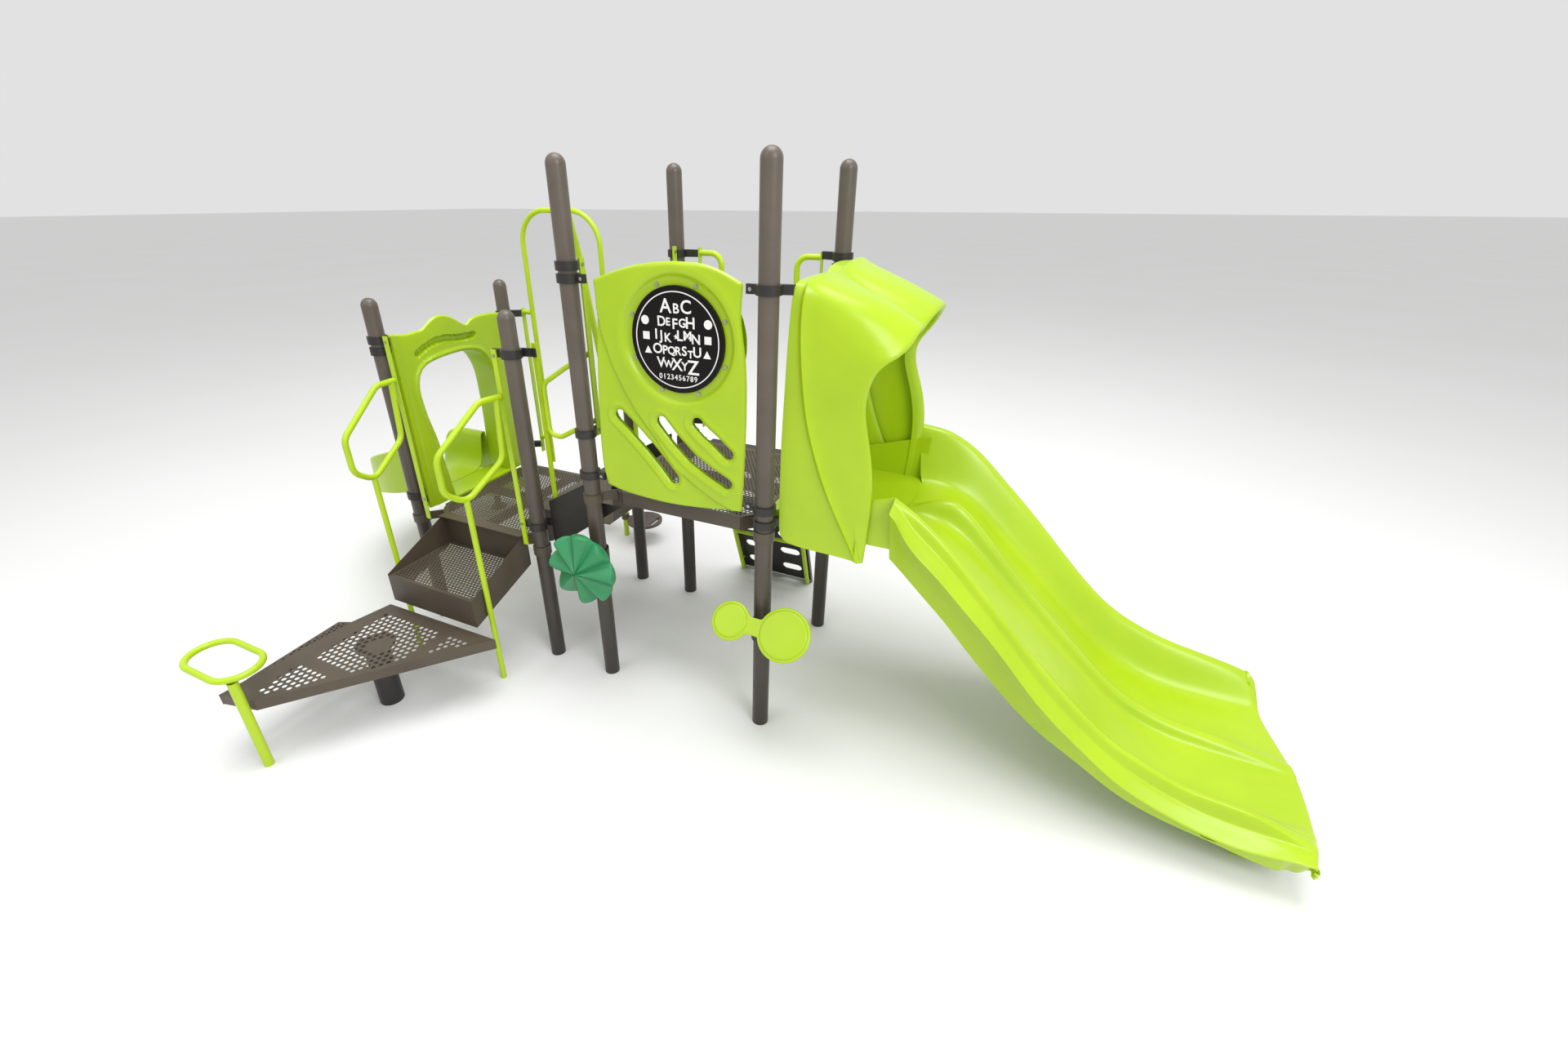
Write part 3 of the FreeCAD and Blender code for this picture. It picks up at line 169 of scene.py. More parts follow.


# the posts' darker colour towards the bottom (332C27) is painted ground shade
bronze_coat = powder_coat("bronze_powder_coat", "5F564C", "574E45", 0.36, low="332C27")
deck_coat = powder_coat("deck_bronze_coat", "514739", "473E34", 0.46)
black_coat = powder_coat("black_powder_coat", "2A2623", "1F1C1A", 0.42)
lime_coat = powder_coat("lime_powder_coat", "B2D017", "A8C715", 0.3)

# bolt steel: zinc-plated and passivated, a bright grey metal with a fine grain
bolt_steel, bolt_shader, bolt_place = new_material("zinc_plated_steel")
grain = add_node(bolt_steel, "ShaderNodeTexNoise", {"Scale": 420.0, "Detail": 3.0},
                 {"Vector": bolt_place})
bolt_tone = add_node(bolt_steel, "ShaderNodeValToRGB", None, {"Fac": grain.outputs[0]})
bolt_tone.color_ramp.elements[0].color = linear("8F8F8C")
bolt_tone.color_ramp.elements[1].color = linear("C4C4C0")
bolt_steel.node_tree.links.new(bolt_tone.outputs[0], bolt_shader.inputs["Base Color"])
bolt_shader.inputs["Metallic"].default_value = 1.0
bolt_shader.inputs["Roughness"].default_value = 0.35

# ---- moulded plastic ------------------------------------------------------------------------
# Panels, slides, pods and drums are rotationally moulded polyethylene, coloured right
# through: waxy, softly lit from inside, with the fine pebbled skin of the blasted mould.


def moulded_plastic(name, face, deep, rough, glow=0.06):
    """Rotomoulded polyethylene: faint 400 mm clouds of tone, 3 mm pebbled skin."""
    material, shader, place = new_material(name)
    cloud = add_node(material, "ShaderNodeTexNoise",
                     {"Scale": 2.4, "Detail": 4.0, "Roughness": 0.55}, {"Vector": place})
    tone = add_node(material, "ShaderNodeValToRGB", None, {"Fac": cloud.outputs[0]})
    tone.color_ramp.elements[0].position = 0.3
    tone.color_ramp.elements[0].color = linear(deep)
    tone.color_ramp.elements[1].position = 0.65
    tone.color_ramp.elements[1].color = linear(face)
    material.node_tree.links.new(tone.outputs[0], shader.inputs["Base Color"])
    scuff = add_node(material, "ShaderNodeTexNoise", {"Scale": 18.0, "Detail": 4.0},
                     {"Vector": place})
    gloss = add_node(material, "ShaderNodeMapRange",
                     {"To Min": rough - 0.06, "To Max": rough + 0.08},
                     {"Value": scuff.outputs[0]})
    material.node_tree.links.new(gloss.outputs[0], shader.inputs["Roughness"])
    pebble = add_node(material, "ShaderNodeTexNoise", {"Scale": 330.0, "Detail": 2.0},
                      {"Vector": place})
    bump = add_node(material, "ShaderNodeBump", {"Strength": 0.1, "Distance": 0.0007},
                    {"Height": pebble.outputs[0]})
    material.node_tree.links.new(bump.outputs[0], shader.inputs["Normal"])
    shader.inputs["Subsurface Weight"].default_value = glow
    shader.inputs["Subsurface Radius"].default_value = (0.9, 1.0, 0.3)
    shader.inputs["Subsurface Scale"].default_value = 0.012
    return material


lime_plastic = moulded_plastic("lime_polyethylene", "A6C414", "9DBC12", 0.3)
bronze_plastic = moulded_plastic("bronze_polyethylene", "584A40", "4E4138", 0.42)
disc_plastic = moulded_plastic("black_polyethylene_sheet", "0E0B0A", "0B0908", 0.24, 0.0)
disc_plastic.node_tree.nodes["Principled BSDF"].inputs["Specular IOR Level"].default_value = 0.2
teal_plastic = moulded_plastic("teal_polyethylene", "2F8C58", "277C4C", 0.36)

FINISH = {"post_coat": bronze_coat, "deck_coat": deck_coat, "black_coat": black_coat,
          "lime_coat": lime_coat, "lime_plastic": lime_plastic,
          "bronze_plastic": bronze_plastic, "dark_plastic": disc_plastic,
          "teal_plastic": teal_plastic, "bolt_steel": bolt_steel}
for part in frame["record"]["subparts"]:
    node = frame["nodes"][part["node"]]
    node.data.materials.clear()
    node.data.materials.append(FINISH[part["material_slot"]])


def shaped_grid(name, columns, rows, place):
    """A sheet of faces with its corners at place(s, t), in mm, s and t from 0 to 1."""
    bpy.ops.object.select_all(action="DESELECT")
    bpy.ops.mesh.primitive_grid_add(x_subdivisions=columns, y_subdivisions=rows, size=2)
    piece = bpy.context.object
    piece.name = name
    for corner in piece.data.vertices:
        spot = place((corner.co.x + 1) / 2, (corner.co.y + 1) / 2)
        corner.co = Vector(spot) / 1000
    return piece


def modify(piece, kind, **settings):
    """Adds a modifier to the piece and applies it."""
    bpy.ops.object.select_all(action="DESELECT")
    bpy.context.view_layer.objects.active = piece
    piece.select_set(True)
    step = piece.modifiers.new(kind.title(), kind)
    for key, value in settings.items():
        setattr(step, key, value)
    bpy.ops.object.modifier_apply(modifier=step.name)


def edit(piece):
    """Opens a piece for editing, with nothing on it selected."""
    bpy.ops.object.select_all(action="DESELECT")
    bpy.context.view_layer.objects.active = piece
    piece.select_set(True)
    bpy.ops.object.mode_set(mode="EDIT")
    bpy.ops.mesh.select_mode(type="VERT")
    bpy.ops.mesh.select_all(action="DESELECT")


def close_up(piece, outward=True, angle=40):
    """Merges doubles, turns faces outwards and shades the piece smooth up to an angle."""
    edit(piece)
    bpy.ops.mesh.select_all(action="SELECT")
    bpy.ops.mesh.remove_doubles(threshold=0.0002)
    if outward:
        bpy.ops.mesh.normals_make_consistent(inside=False)
    bpy.ops.object.mode_set(mode="OBJECT")
    bpy.ops.object.shade_smooth_by_angle(angle=math.radians(angle))


def fit(piece, material, slot, *nodes, body="structure"):
    """Gives a finished piece its material, body and the CAD nodes it stands for; slot is not used.
    """
    piece.data.materials.clear()
    piece.data.materials.append(material)
    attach(piece, body)
    if nodes:
        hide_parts(*nodes)


def ramp(value):
    """Smooth step from 0 to 1."""
    value = min(max(value, 0.0), 1.0)
    return value * value * (3 - 2 * value)


def along(table, x):
    """Smooth curve through a list of (x, value)."""
    if x <= table[0][0]:
        return table[0][1]
    if x >= table[-1][0]:
        return table[-1][1]
    i = max(k for k in range(len(table) - 1) if table[k][0] <= x)
    (x0, v0), (x1, v1) = table[i], table[i + 1]
    step = x1 - x0
    rise = v1 - v0
    before = (rise / step if i == 0 else
              (v1 - table[i - 1][1]) / (x1 - table[i - 1][0]))
    after = (rise / step if i + 2 == len(table) else
             (table[i + 2][1] - v0) / (table[i + 2][0] - x0))
    t = (x - x0) / step
    return (v0 + before * step * t + (3 * rise - (2 * before + after) * step) * t * t
            + ((before + after) * step - 2 * rise) * t ** 3)


# ---- double slide -------------------------------------------------------------------------
# One moulded bed with two lanes side by side and a low hump between them. The near rim is
# a rounded crest over a leaf-shaped ledge; the far rim is tall; the exit's edge turns down.
CREST_X, CREST_R, ENTRY_Z, SLOPE = 1650.0, 400.0, 1245.0, math.radians(43)
SAG_X, SAG_R, RUN_OUT = 2640.0, 700.0, math.radians(3)
HUMP = [(1610, 6), (1750, 84), (1860, 128), (2240, 76), (3020, 70), (3330, 46), (3520, 20)]
NEAR_RIM = [(1610, 248), (1700, 196), (1857, 124), (2100, 84), (2370, 50), (2593, 60),
            (2812, 98), (3017, 86), (3254, 80), (3413, 38), (3492, 16)]
FAR_RIM = [(1610, 290), (1863, 240), (2218, 228), (2538, 196), (2865, 216), (3279, 172),
           (3400, 142), (3530, 70)]
LEDGE = [(1610, 216), (1640, 188), (1706, 80), (1893, -7), (2133, -22), (2366, -66),
         (2616, -34), (2904, -16), (3217, -48), (3420, -7), (3500, -4)]
SKIRT = [(1610, -18), (1720, -110), (1841, -184), (2092, -231), (2339, -230), (2642, -122),
         (3050, -77), (3297, -117), (3491, -150)]
EXIT_X = [(-40, 3478), (70, 3504), (286, 3526), (450, 3528), (601, 3512), (791, 3480),
          (1000, 3452), (1060, 3445)]
STATIONS = [1611, 1618, 1640, 1680, 1730, 1790, 1850, 1920, 2000, 2100, 2200, 2320, 2440,
            2560, 2660, 2750, 2840, 2930, 3020, 3110, 3200, 3290, 3360, 3400]
# rows of the rolled exit: (back from the edge, drop below the lanes, share of flattening)
NOSE = [(70, 0, 0), (34, 0, 0), (14, -4, 0.2), (2, -22, 0.5), (0, -48, 0.8), (6, -60, 1)]
NOSE_DEPTH = 60           # the exit's skirt ends this far below its lip
FAR_LEAN = 84             # the joint with the entry slants back on the far side
LEAN_FROM, LEAN_WIDTH = 860, 160
LEAN_ROWS = 3
SLIDE_SHEET = 0.008       # wall of the moulded slides, in metres


def bed_height(x):
    """Height of the lanes: level, crest, straight slope, sag and run out."""
    crest_end = CREST_X + CREST_R * math.sin(SLOPE)
    crest_z = ENTRY_Z - CREST_R * (1 - math.cos(SLOPE))
    sag_z = crest_z - (SAG_X - crest_end) * math.tan(SLOPE)
    sag_end = SAG_X + SAG_R * (math.sin(SLOPE) - math.sin(RUN_OUT))
    if x <= CREST_X:
        return ENTRY_Z
    if x <= crest_end:
        return ENTRY_Z - CREST_R + math.sqrt(CREST_R ** 2 - (x - CREST_X) ** 2)
    if x <= SAG_X:
        return crest_z - (x - crest_end) * math.tan(SLOPE)
    centre_x = SAG_X + SAG_R * math.sin(SLOPE)
    centre_z = sag_z + SAG_R * math.cos(SLOPE)
    if x <= sag_end:
        return centre_z - math.sqrt(SAG_R ** 2 - (centre_x - x) ** 2)
    return centre_z - SAG_R * math.cos(RUN_OUT) - (x - sag_end) * math.tan(RUN_OUT)


def chute_profile(x):
    """Across the slide, from the near skirt to the far one, as (y, z)."""
    bed = bed_height(x)
    near, far = bed + along(NEAR_RIM, x), bed + along(FAR_RIM, x)
    hump, skirt, ledge = bed + along(HUMP, x), bed + along(SKIRT, x), bed + along(LEDGE, x)
    rise = near - ledge
    under = min(max((ledge - skirt - 40) / 2, 0), 84)
    lift = max(hump - bed, 16)
    return [(-18 + under, skirt - under * 0.5), (-20 + under * 0.6, (skirt + ledge) / 2),
            (-18, ledge - 30), (-17, ledge - 17), (-36, ledge - 13), (-41, ledge - 5),
            (-34, ledge + 2), (-14, ledge + rise * 0.16), (10, ledge + rise * 0.36),
            (24, ledge + rise * 0.42), (31, ledge + rise * 0.5), (38, near - rise * 0.2),
            (48, near - 3), (62, near), (76, near - 3), (88, near - (near - bed) * 0.16),
            (104, near - (near - bed) * 0.5), (124, bed + 18), (150, bed + 4), (190, bed),
            (310, bed), (400, bed + 1), (444, bed + 7), (462, bed + lift * 0.3),
            (474, bed + lift * 0.72), (488, bed + lift * 0.95), (510, bed + lift),
            (532, bed + lift * 0.95), (546, bed + lift * 0.72), (558, bed + lift * 0.3),
            (576, bed + 7), (620, bed + 1), (700, bed), (800, bed), (858, bed + 2),
            (892, bed + 12), (920, bed + (far - bed) * 0.24), (958, bed + (far - bed) * 0.66),
            (984, far - 20), (1000, far - 5), (1021, far), (1042, far - 5),
            (1055, far - 22), (1060, far - 60), (1060, (far + skirt) / 2), (1060, skirt)]


PROFILES = [chute_profile(x) for x in STATIONS]
LAST = len(STATIONS) + len(NOSE) - 1


def on_chute(s, t):
    """Corner of the slide's sheet at a share s across and t along it."""
    k = round(s * (len(PROFILES[0]) - 1))
    row = round(t * LAST)
    if row < len(STATIONS):
        y, z = PROFILES[row][k]
        share = min(max((y - LEAN_FROM) / LEAN_WIDTH, 0), 1)
        lean = FAR_LEAN * share * max(1 - row / LEAN_ROWS, 0)
        return STATIONS[row] - lean, y, z
    back, drop, squeeze = NOSE[row - len(STATIONS)]
    y = PROFILES[0][k][0]
    x = along(EXIT_X, y) - back
    z = chute_profile(x)[k][1]
    lip = bed_height(x) + drop
    lowest = lip - NOSE_DEPTH
    if z > lowest:
        return x, y, z + (min(z, lip) - z) * squeeze
    return x, y, lowest + (z - lowest) * (1 - squeeze)


chute = shaped_grid("slide_bed", len(PROFILES[0]) - 1, LAST, on_chute)
close_up(chute)
modify(chute, "SUBSURF", levels=2, render_levels=2)
modify(chute, "SOLIDIFY", thickness=SLIDE_SHEET, offset=-1.0)
close_up(chute, outward=False, angle=50)
fit(chute, lime_plastic, "lime_plastic", "slide_chute")

# ---- hood over the slide's entry ----------------------------------------------------------
# One moulded shell: flanks with a long raised rib, a roof of two lobes with a valley
# between them, and a rolled lip round the opening. It is bolted to the right-hand posts.
# Each row runs from the back flange over the rib to the lip, as (x, y, z).
HOOD_ROWS = [
    [(1086, 30, 1160), (1479, 2, 1150), (1492, 26, 1146), (1503, 30, 1144)],
    [(1081, 30, 1250), (1430, 2, 1245), (1470, 26, 1240), (1508, 30, 1235)],
    [(1079, 30, 1423), (1332, 2, 1423), (1425, 27, 1418), (1516, 30, 1410)],
    [(1079, 30, 1560), (1275, 2, 1560), (1400, 28, 1555), (1511, 30, 1550)],
    [(1079, 30, 1690), (1230, 2, 1690), (1370, 28, 1685), (1490, 30, 1681)],
    [(1083, 30, 1800), (1200, 2, 1800), (1340, 28, 1797), (1460, 30, 1795)],
    [(1086, 30, 1895), (1184, 2, 1895), (1325, 28, 1892), (1445, 30, 1880)],
    [(1089, 30, 1990), (1171, 2, 1990), (1325, 28, 1985), (1454, 31, 1966)],
    [(1092, 30, 2080), (1163, 2, 2080), (1332, 29, 2065), (1478, 34, 2036)],
    [(1096, 30, 2170), (1156, 2, 2175), (1345, 32, 2140), (1522, 42, 2078)],
    [(1103, 30, 2270), (1158, 3, 2270), (1365, 42, 2212), (1562, 72, 2104)],
    [(1110, 34, 2345), (1165, 10, 2348), (1388, 66, 2265), (1590, 124, 2140)],
    [(1116, 70, 2368), (1175, 50, 2386), (1412, 118, 2292), (1603, 186, 2178)],
    [(1118, 160, 2372), (1186, 150, 2394), (1430, 196, 2300), (1607, 244, 2196)],
    [(1118, 290, 2372), (1192, 290, 2392), (1432, 292, 2297), (1604, 304, 2194)],
    [(1118, 370, 2370), (1194, 370, 2384), (1422, 366, 2276), (1590, 362, 2168)],
    [(1118, 425, 2368), (1194, 425, 2380), (1408, 416, 2250), (1572, 406, 2138)],
    [(1118, 452, 2372), (1194, 452, 2384), (1402, 440, 2242), (1564, 428, 2126)],
    [(1118, 474, 2386), (1194, 474, 2402), (1410, 458, 2272), (1578, 444, 2160)],
    [(1118, 530, 2396), (1194, 530, 2416), (1418, 510, 2300), (1598, 496, 2200)],
    [(1118, 610, 2400), (1194, 610, 2422), (1426, 596, 2316), (1614, 580, 2226)],
    [(1118, 700, 2398), (1194, 700, 2422), (1430, 690, 2322), (1622, 680, 2234)],
    [(1118, 790, 2392), (1190, 790, 2416), (1428, 790, 2312), (1620, 790, 2222)],
    [(1116, 880, 2370), (1184, 886, 2392), (1412, 880, 2272), (1594, 874, 2166)],
    [(1110, 950, 2330), (1174, 960, 2350), (1380, 946, 2215), (1546, 930, 2086)],
    [(1103, 980, 2250), (1162, 998, 2255), (1350, 976, 2140), (1502, 964, 2030)],
    [(1094, 986, 2140), (1158, 1008, 2145), (1330, 984, 2060), (1472, 976, 1975)],
    [(1088, 986, 2000), (1170, 1008, 2000), (1322, 986, 1960), (1470, 982, 1915)],
    [(1086, 986, 1880), (1186, 1008, 1880), (1338, 986, 1865), (1484, 984, 1852)],
    [(1081, 986, 1740), (1218, 1008, 1740), (1380, 986, 1738), (1532, 985, 1735)],
    [(1079, 986, 1590), (1262, 1008, 1590), (1420, 986, 1588), (1564, 986, 1585)],
    [(1079, 986, 1420), (1334, 1008, 1420), (1450, 986, 1418), (1566, 986, 1415)],
    [(1081, 986, 1260), (1425, 1008, 1260), (1500, 986, 1258), (1556, 986, 1255)],
    [(1086, 986, 1150), (1475, 1008, 1150), (1515, 986, 1148), (1545, 986, 1145)]]
HOOD_MIDDLE_Y = 508
LIP_TOP_Z = 1900          # above this height the lip turns down as well as in


def hood_row(row):
    """The row's corners with the rib's two feet and the rolled lip added."""
    back, rib, field, edge = [Vector(spot) for spot in row]
    inward = (Vector((edge.x, HOOD_MIDDLE_Y, min(edge.z, LIP_TOP_Z))) - edge).normalized()
    middle = back.lerp(rib, 0.5) + (back - rib).project(inward) * 0.5
    foot = back + (rib - back) - (rib - back).project(inward)
    before = foot.lerp(back, min(12 / max((foot - back).length, 1), 0.6))
    after = foot.lerp(field, min(13 / max((foot - field).length, 1), 0.6))
    forward = (edge - field).normalized()
    return [back, middle, before, rib, after, field, edge - forward * 60,
            edge - forward * 18, edge + inward * 8, edge + inward * 26 - forward * 4,
            edge + inward * 44 - forward * 26, edge + inward * 48 - forward * 60]


hood_corners = [hood_row(row) for row in HOOD_ROWS]
HOOD_ACROSS = len(hood_corners[0]) - 1
HOOD_ALONG = len(hood_corners) - 1
hood = shaped_grid("slide_hood_shell", HOOD_ACROSS, HOOD_ALONG,
                   lambda s, t: hood_corners[round(t * HOOD_ALONG)][round(s * HOOD_ACROSS)])
close_up(hood)
modify(hood, "SUBSURF", levels=3, render_levels=3)
modify(hood, "SOLIDIFY", thickness=0.006, offset=-1.0)
close_up(hood, outward=False, angle=50)
fit(hood, lime_plastic, "lime_plastic", "slide_hood")

# ---- front panel with the letter disc --------------------------------------------------------
# A thick double-walled moulding: a dished ring for the disc, a long S-shaped crease and
# three curved slots, all with soft rounded edges. Lugs on its sides sit in post clamps.
PANEL_TOP = [(100, 2322), (152, 2338), (300, 2387), (420, 2413), (546, 2427), (640, 2428),
             (724, 2422), (810, 2398), (905, 2354)]
PANEL_BOTTOM = [(128, 1312), (225, 1288), (475, 1271), (690, 1282), (902, 1308)]
PANEL_LEFT = [(1308, 128), (1418, 106), (1655, 108), (1984, 129), (2240, 155), (2338, 152)]
PANEL_RIGHT = [(1308, 902), (1545, 916), (1812, 925), (2028, 920), (2210, 898), (2354, 905)]
CREASE = [(149, 2318), (152, 2280), (162, 2200), (180, 2090), (225, 1950), (285, 1830),
          (345, 1735), (440, 1620), (552, 1475), (660, 1400), (760, 1345), (874, 1300)]
SLOTS = [[(235, 1705), (300, 1650), (395, 1560), (470, 1480), (528, 1412)],
         [(478, 1705), (550, 1622), (640, 1540), (730, 1485), (822, 1440)],
         [(672, 1722), (715, 1682), (760, 1650), (830, 1592)]]
SLOT_R = 27
DISC_X, DISC_Z, RECESS_R = 583, 2096, 272
PANEL_FACE_Y = -25
PANEL_THICK = 0.06        # in metres, as are the other sheet thicknesses


def nearest(path, x, z):
    """Distance to a path of short runs, and which side of it the spot is on."""
    best, side = 1e9, 1
    for (xa, za), (xb, zb) in zip(path, path[1:]):
        run = (xb - xa) ** 2 + (zb - za) ** 2
        t = min(max(((x - xa) * (xb - xa) + (z - za) * (zb - za)) / run, 0), 1)
        gap = math.hypot(x - xa - t * (xb - xa), z - za - t * (zb - za))
        if gap < best:
            best = gap
            side = 1 if (xb - xa) * (z - za) - (zb - za) * (x - xa) > 0 else -1
    return best, side


def slot_gap(x, z):
    """Distance from the edge of the nearest slot, less than 0 inside it."""
    return min(nearest(slot, x, z)[0] for slot in SLOTS) - SLOT_R


def cut_skin(name, columns, rows, plan, gap, relief):
    """A skin over plan(s, t) with its holes cut at gap = 0, then moulded by relief."""
    skin = shaped_grid(name, columns, rows, lambda s, t: (*plan(s, t), 0))
    edit(skin)
    bpy.ops.mesh.select_mode(type="FACE")
    bpy.ops.object.mode_set(mode="OBJECT")
    for face in skin.data.polygons:
        face.select = gap(face.center.x * 1000, face.center.y * 1000) < 0
    bpy.ops.object.mode_set(mode="EDIT")
    bpy.ops.mesh.delete(type="FACE")
    bpy.ops.object.mode_set(mode="OBJECT")
    uses = {}
    for face in skin.data.polygons:
        for key in face.edge_keys:
            uses[key] = uses.get(key, 0) + 1
    ragged = {corner for key, count in uses.items() if count == 1 for corner in key}
    for corner in skin.data.vertices:
        a, b = corner.co.x * 1000, corner.co.y * 1000
        away = gap(a, b)
        if corner.index in ragged and abs(away) < 12:
            for _ in range(3):
                slope_a = gap(a + 0.5, b) - gap(a - 0.5, b)
                slope_b = gap(a, b + 0.5) - gap(a, b - 0.5)
                a, b = a - away * slope_a, b - away * slope_b
                away = gap(a, b)
        corner.co = Vector(relief(a, b)) / 1000
    close_up(skin, outward=False)
    return skin


def rounded(gap, radius, depth):
    """How far a rounded edge has fallen away at a distance from it."""
    if gap >= radius:
        return 0.0
    short = 1 - max(gap, 0) / radius
    return depth * (1 - math.sqrt(max(1 - short * short, 0)))


def on_panel(s, t):
    """A spot on the panel's outline grid, as (x, z)."""
    x = 110 + 800 * s
    for _ in range(3):
        z = along(PANEL_BOTTOM, x) + t * (along(PANEL_TOP, x) - along(PANEL_BOTTOM, x))
        left, right = along(PANEL_LEFT, z), along(PANEL_RIGHT, z)
        x = left + s * (right - left)
    return x, z


def panel_relief(x, z):
    """The moulded front skin at (x, z)."""
    rim = min(x - along(PANEL_LEFT, z), along(PANEL_RIGHT, z) - x,
              along(PANEL_TOP, x) - z, z - along(PANEL_BOTTOM, x))
    y = PANEL_FACE_Y + rounded(rim, 16, 14)
    ring = math.hypot(x - DISC_X, z - DISC_Z)
    y += 22 * ramp((RECESS_R + 20 - ring) / 26) - 3 * math.exp(-((ring - 312) / 20) ** 2)
    crease, side = nearest(CREASE, x, z)
    if side < 0:
        y += 12 * ramp(crease / 9) * math.exp(-crease / 130)
    away = slot_gap(x, z)
    if away < 60:
        y += rounded(away, 18, 14) - 6 * math.exp(-((away - 28) / 9) ** 2)
    return x, y, z


panel = cut_skin("front_panel_skin", 122, 160, on_panel, slot_gap, panel_relief)
if sum(face.normal.y * face.area for face in panel.data.polygons) > 0:
    panel.data.flip_normals()
modify(panel, "SOLIDIFY", thickness=PANEL_THICK, offset=-1.0)
close_up(panel, outward=False, angle=60)
fit(panel, lime_plastic, "lime_plastic", "activity_panel")

# lettering: letters, figures and simple shapes cut through the disc's white top layer
lettering_white, white_shader, white_place = new_material("white_polyethylene_layer")
milling = add_node(lettering_white, "ShaderNodeTexNoise", {"Scale": 60.0, "Detail": 3.0},
                   {"Vector": white_place})
white_tone = add_node(lettering_white, "ShaderNodeValToRGB", None, {"Fac": milling.outputs[0]})
white_tone.color_ramp.elements[0].color = linear("DAD8D4")
white_tone.color_ramp.elements[1].color = linear("F1F0ED")
lettering_white.node_tree.links.new(white_tone.outputs[0], white_shader.inputs["Base Color"])
white_shader.inputs["Roughness"].default_value = 0.45

DISC_FACE_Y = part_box("letter_disc")[0].y * 1000
# each row: height above the disc's centre, width, and (letter, height, lift)
ROWS = [
    (146, 163, [("A", 62, 0), ("B", 42, -8), ("C", 58, 0)]),
    (80, 190, [("D", 44, 0), ("E", 34, 0), ("F", 46, -8), ("G", 38, -2), ("H", 50, 0)]),
    (20, 234, [("I", 46, 2), ("J", 44, -2), ("K", 40, -10), (" ", 30, 0), ("L", 46, 2),
               ("M", 42, 4), ("N", 44, -8)]),
    (-46, 246, [("O", 46, 4), ("P", 40, 0), ("Q", 36, 0), ("R", 38, 0), ("S", 42, 2),
                ("T", 34, -10), ("U", 46, 2)]),
    (-108, 216, [("V", 48, 4), ("W", 34, 0), ("X", 56, 0), ("Y", 38, -4), ("Z", 66, -8)]),
    (-166, 204, [(figure, 25, 0) for figure in "0123456789"])]
LETTER_ROOM = {"W": 1.45, "M": 1.3, "I": 0.6, "J": 0.8, "L": 0.85, "E": 0.9, " ": 1.1,
               "O": 1.15, "Q": 1.15, "U": 1.05}
marks = []


def stand_up(mark, x, z):
    """Puts a flat mark upright on the disc's face."""
    mark.matrix_world = (Matrix.Translation(Vector((DISC_X + x, DISC_FACE_Y - 0.6, DISC_Z + z))
                                            / 1000)
                         @ Matrix.Rotation(math.pi / 2, 4, "X"))
    bpy.ops.object.select_all(action="DESELECT")
    bpy.context.view_layer.objects.active = mark
    mark.select_set(True)
    bpy.ops.object.transform_apply()
    marks.append(mark)


for height, width, letters in ROWS:
    room = sum(size * LETTER_ROOM.get(letter, 1.0) for letter, size, _ in letters)
    reach = -width / 2
    for letter, size, lift in letters:
        share = size * LETTER_ROOM.get(letter, 1.0) * width / room
        middle = reach + share / 2
        reach += share
        if letter == " ":
            continue
        bpy.ops.object.select_all(action="DESELECT")
        bpy.ops.object.text_add()
        mark = bpy.context.object
        mark.data.body = letter
        mark.data.align_x = "CENTER"
        mark.data.align_y = "CENTER"
        mark.data.size = size / 1000 / 0.72
        mark.data.extrude = 0.0005
        mark.data.offset = 0.001 if size > 30 else 0.0003
        mark.data.resolution_u = 4
        bpy.ops.object.convert(target="MESH")
        stand_up(bpy.context.object, middle, height + lift)

for corners, radius, x, z, turn in [
        (28, 20, -160, 82, 0), (28, 20, 160, 82, 0), (4, 24, -158, 14, 45), (4, 24, 158, 14, 45),
        (3, 22, -152, -54, 0), (3, 22, 152, -54, 0)]:
    bpy.ops.object.select_all(action="DESELECT")
    bpy.ops.mesh.primitive_circle_add(vertices=corners, radius=radius / 1000,
                                      fill_type="NGON", rotation=(0, 0, math.radians(turn)))
    shape = bpy.context.object
    bpy.ops.object.transform_apply()
    modify(shape, "SOLIDIFY", thickness=0.001, offset=0)
    stand_up(shape, x, z)

# a small five-pointed star in the third row, and the thin ring round the disc
bpy.ops.object.select_all(action="DESELECT")
bpy.ops.mesh.primitive_circle_add(vertices=10, radius=0.014, fill_type="NGON")
star = bpy.context.object
for corner in star.data.vertices:
    if corner.index % 2:
        corner.co *= 0.42
modify(star, "SOLIDIFY", thickness=0.001, offset=0)
stand_up(star, -2, 18)
bpy.ops.object.select_all(action="DESELECT")
bpy.ops.mesh.primitive_circle_add(vertices=96, radius=0.213)
white_ring = bpy.context.object
edit(white_ring)
bpy.ops.mesh.select_all(action="SELECT")
bpy.ops.mesh.extrude_region_move()
bpy.ops.transform.resize(value=(0.978, 0.978, 1))
bpy.ops.object.mode_set(mode="OBJECT")
modify(white_ring, "SOLIDIFY", thickness=0.001, offset=0)
stand_up(white_ring, 0, 0)

bpy.ops.object.select_all(action="DESELECT")
for mark in marks:
    mark.select_set(True)
bpy.context.view_layer.objects.active = marks[0]
bpy.ops.object.join()
lettering = bpy.context.object
lettering.name = "disc_lettering"
fit(lettering, lettering_white, None)

# ---- decks, step and transfer platform ------------------------------------------------------
# Steel sheet punched with round holes, its edges folded down as flanges, then dipped in a
# soft bronze coat. The transfer platform has larger holes in three fields between plain
# bands, with a plain disc over its support leg.


def inside(plan, x, y, margin=0.0):
    """Whether a spot is inside a plan given anticlockwise, by at least the margin."""
    for (xa, ya), (xb, yb) in zip(plan, plan[1:] + plan[:1]):
        run = math.hypot(xb - xa, yb - ya)
        if ((xb - xa) * (y - ya) - (yb - ya) * (x - xa)) / run < margin:
            return False
    return True


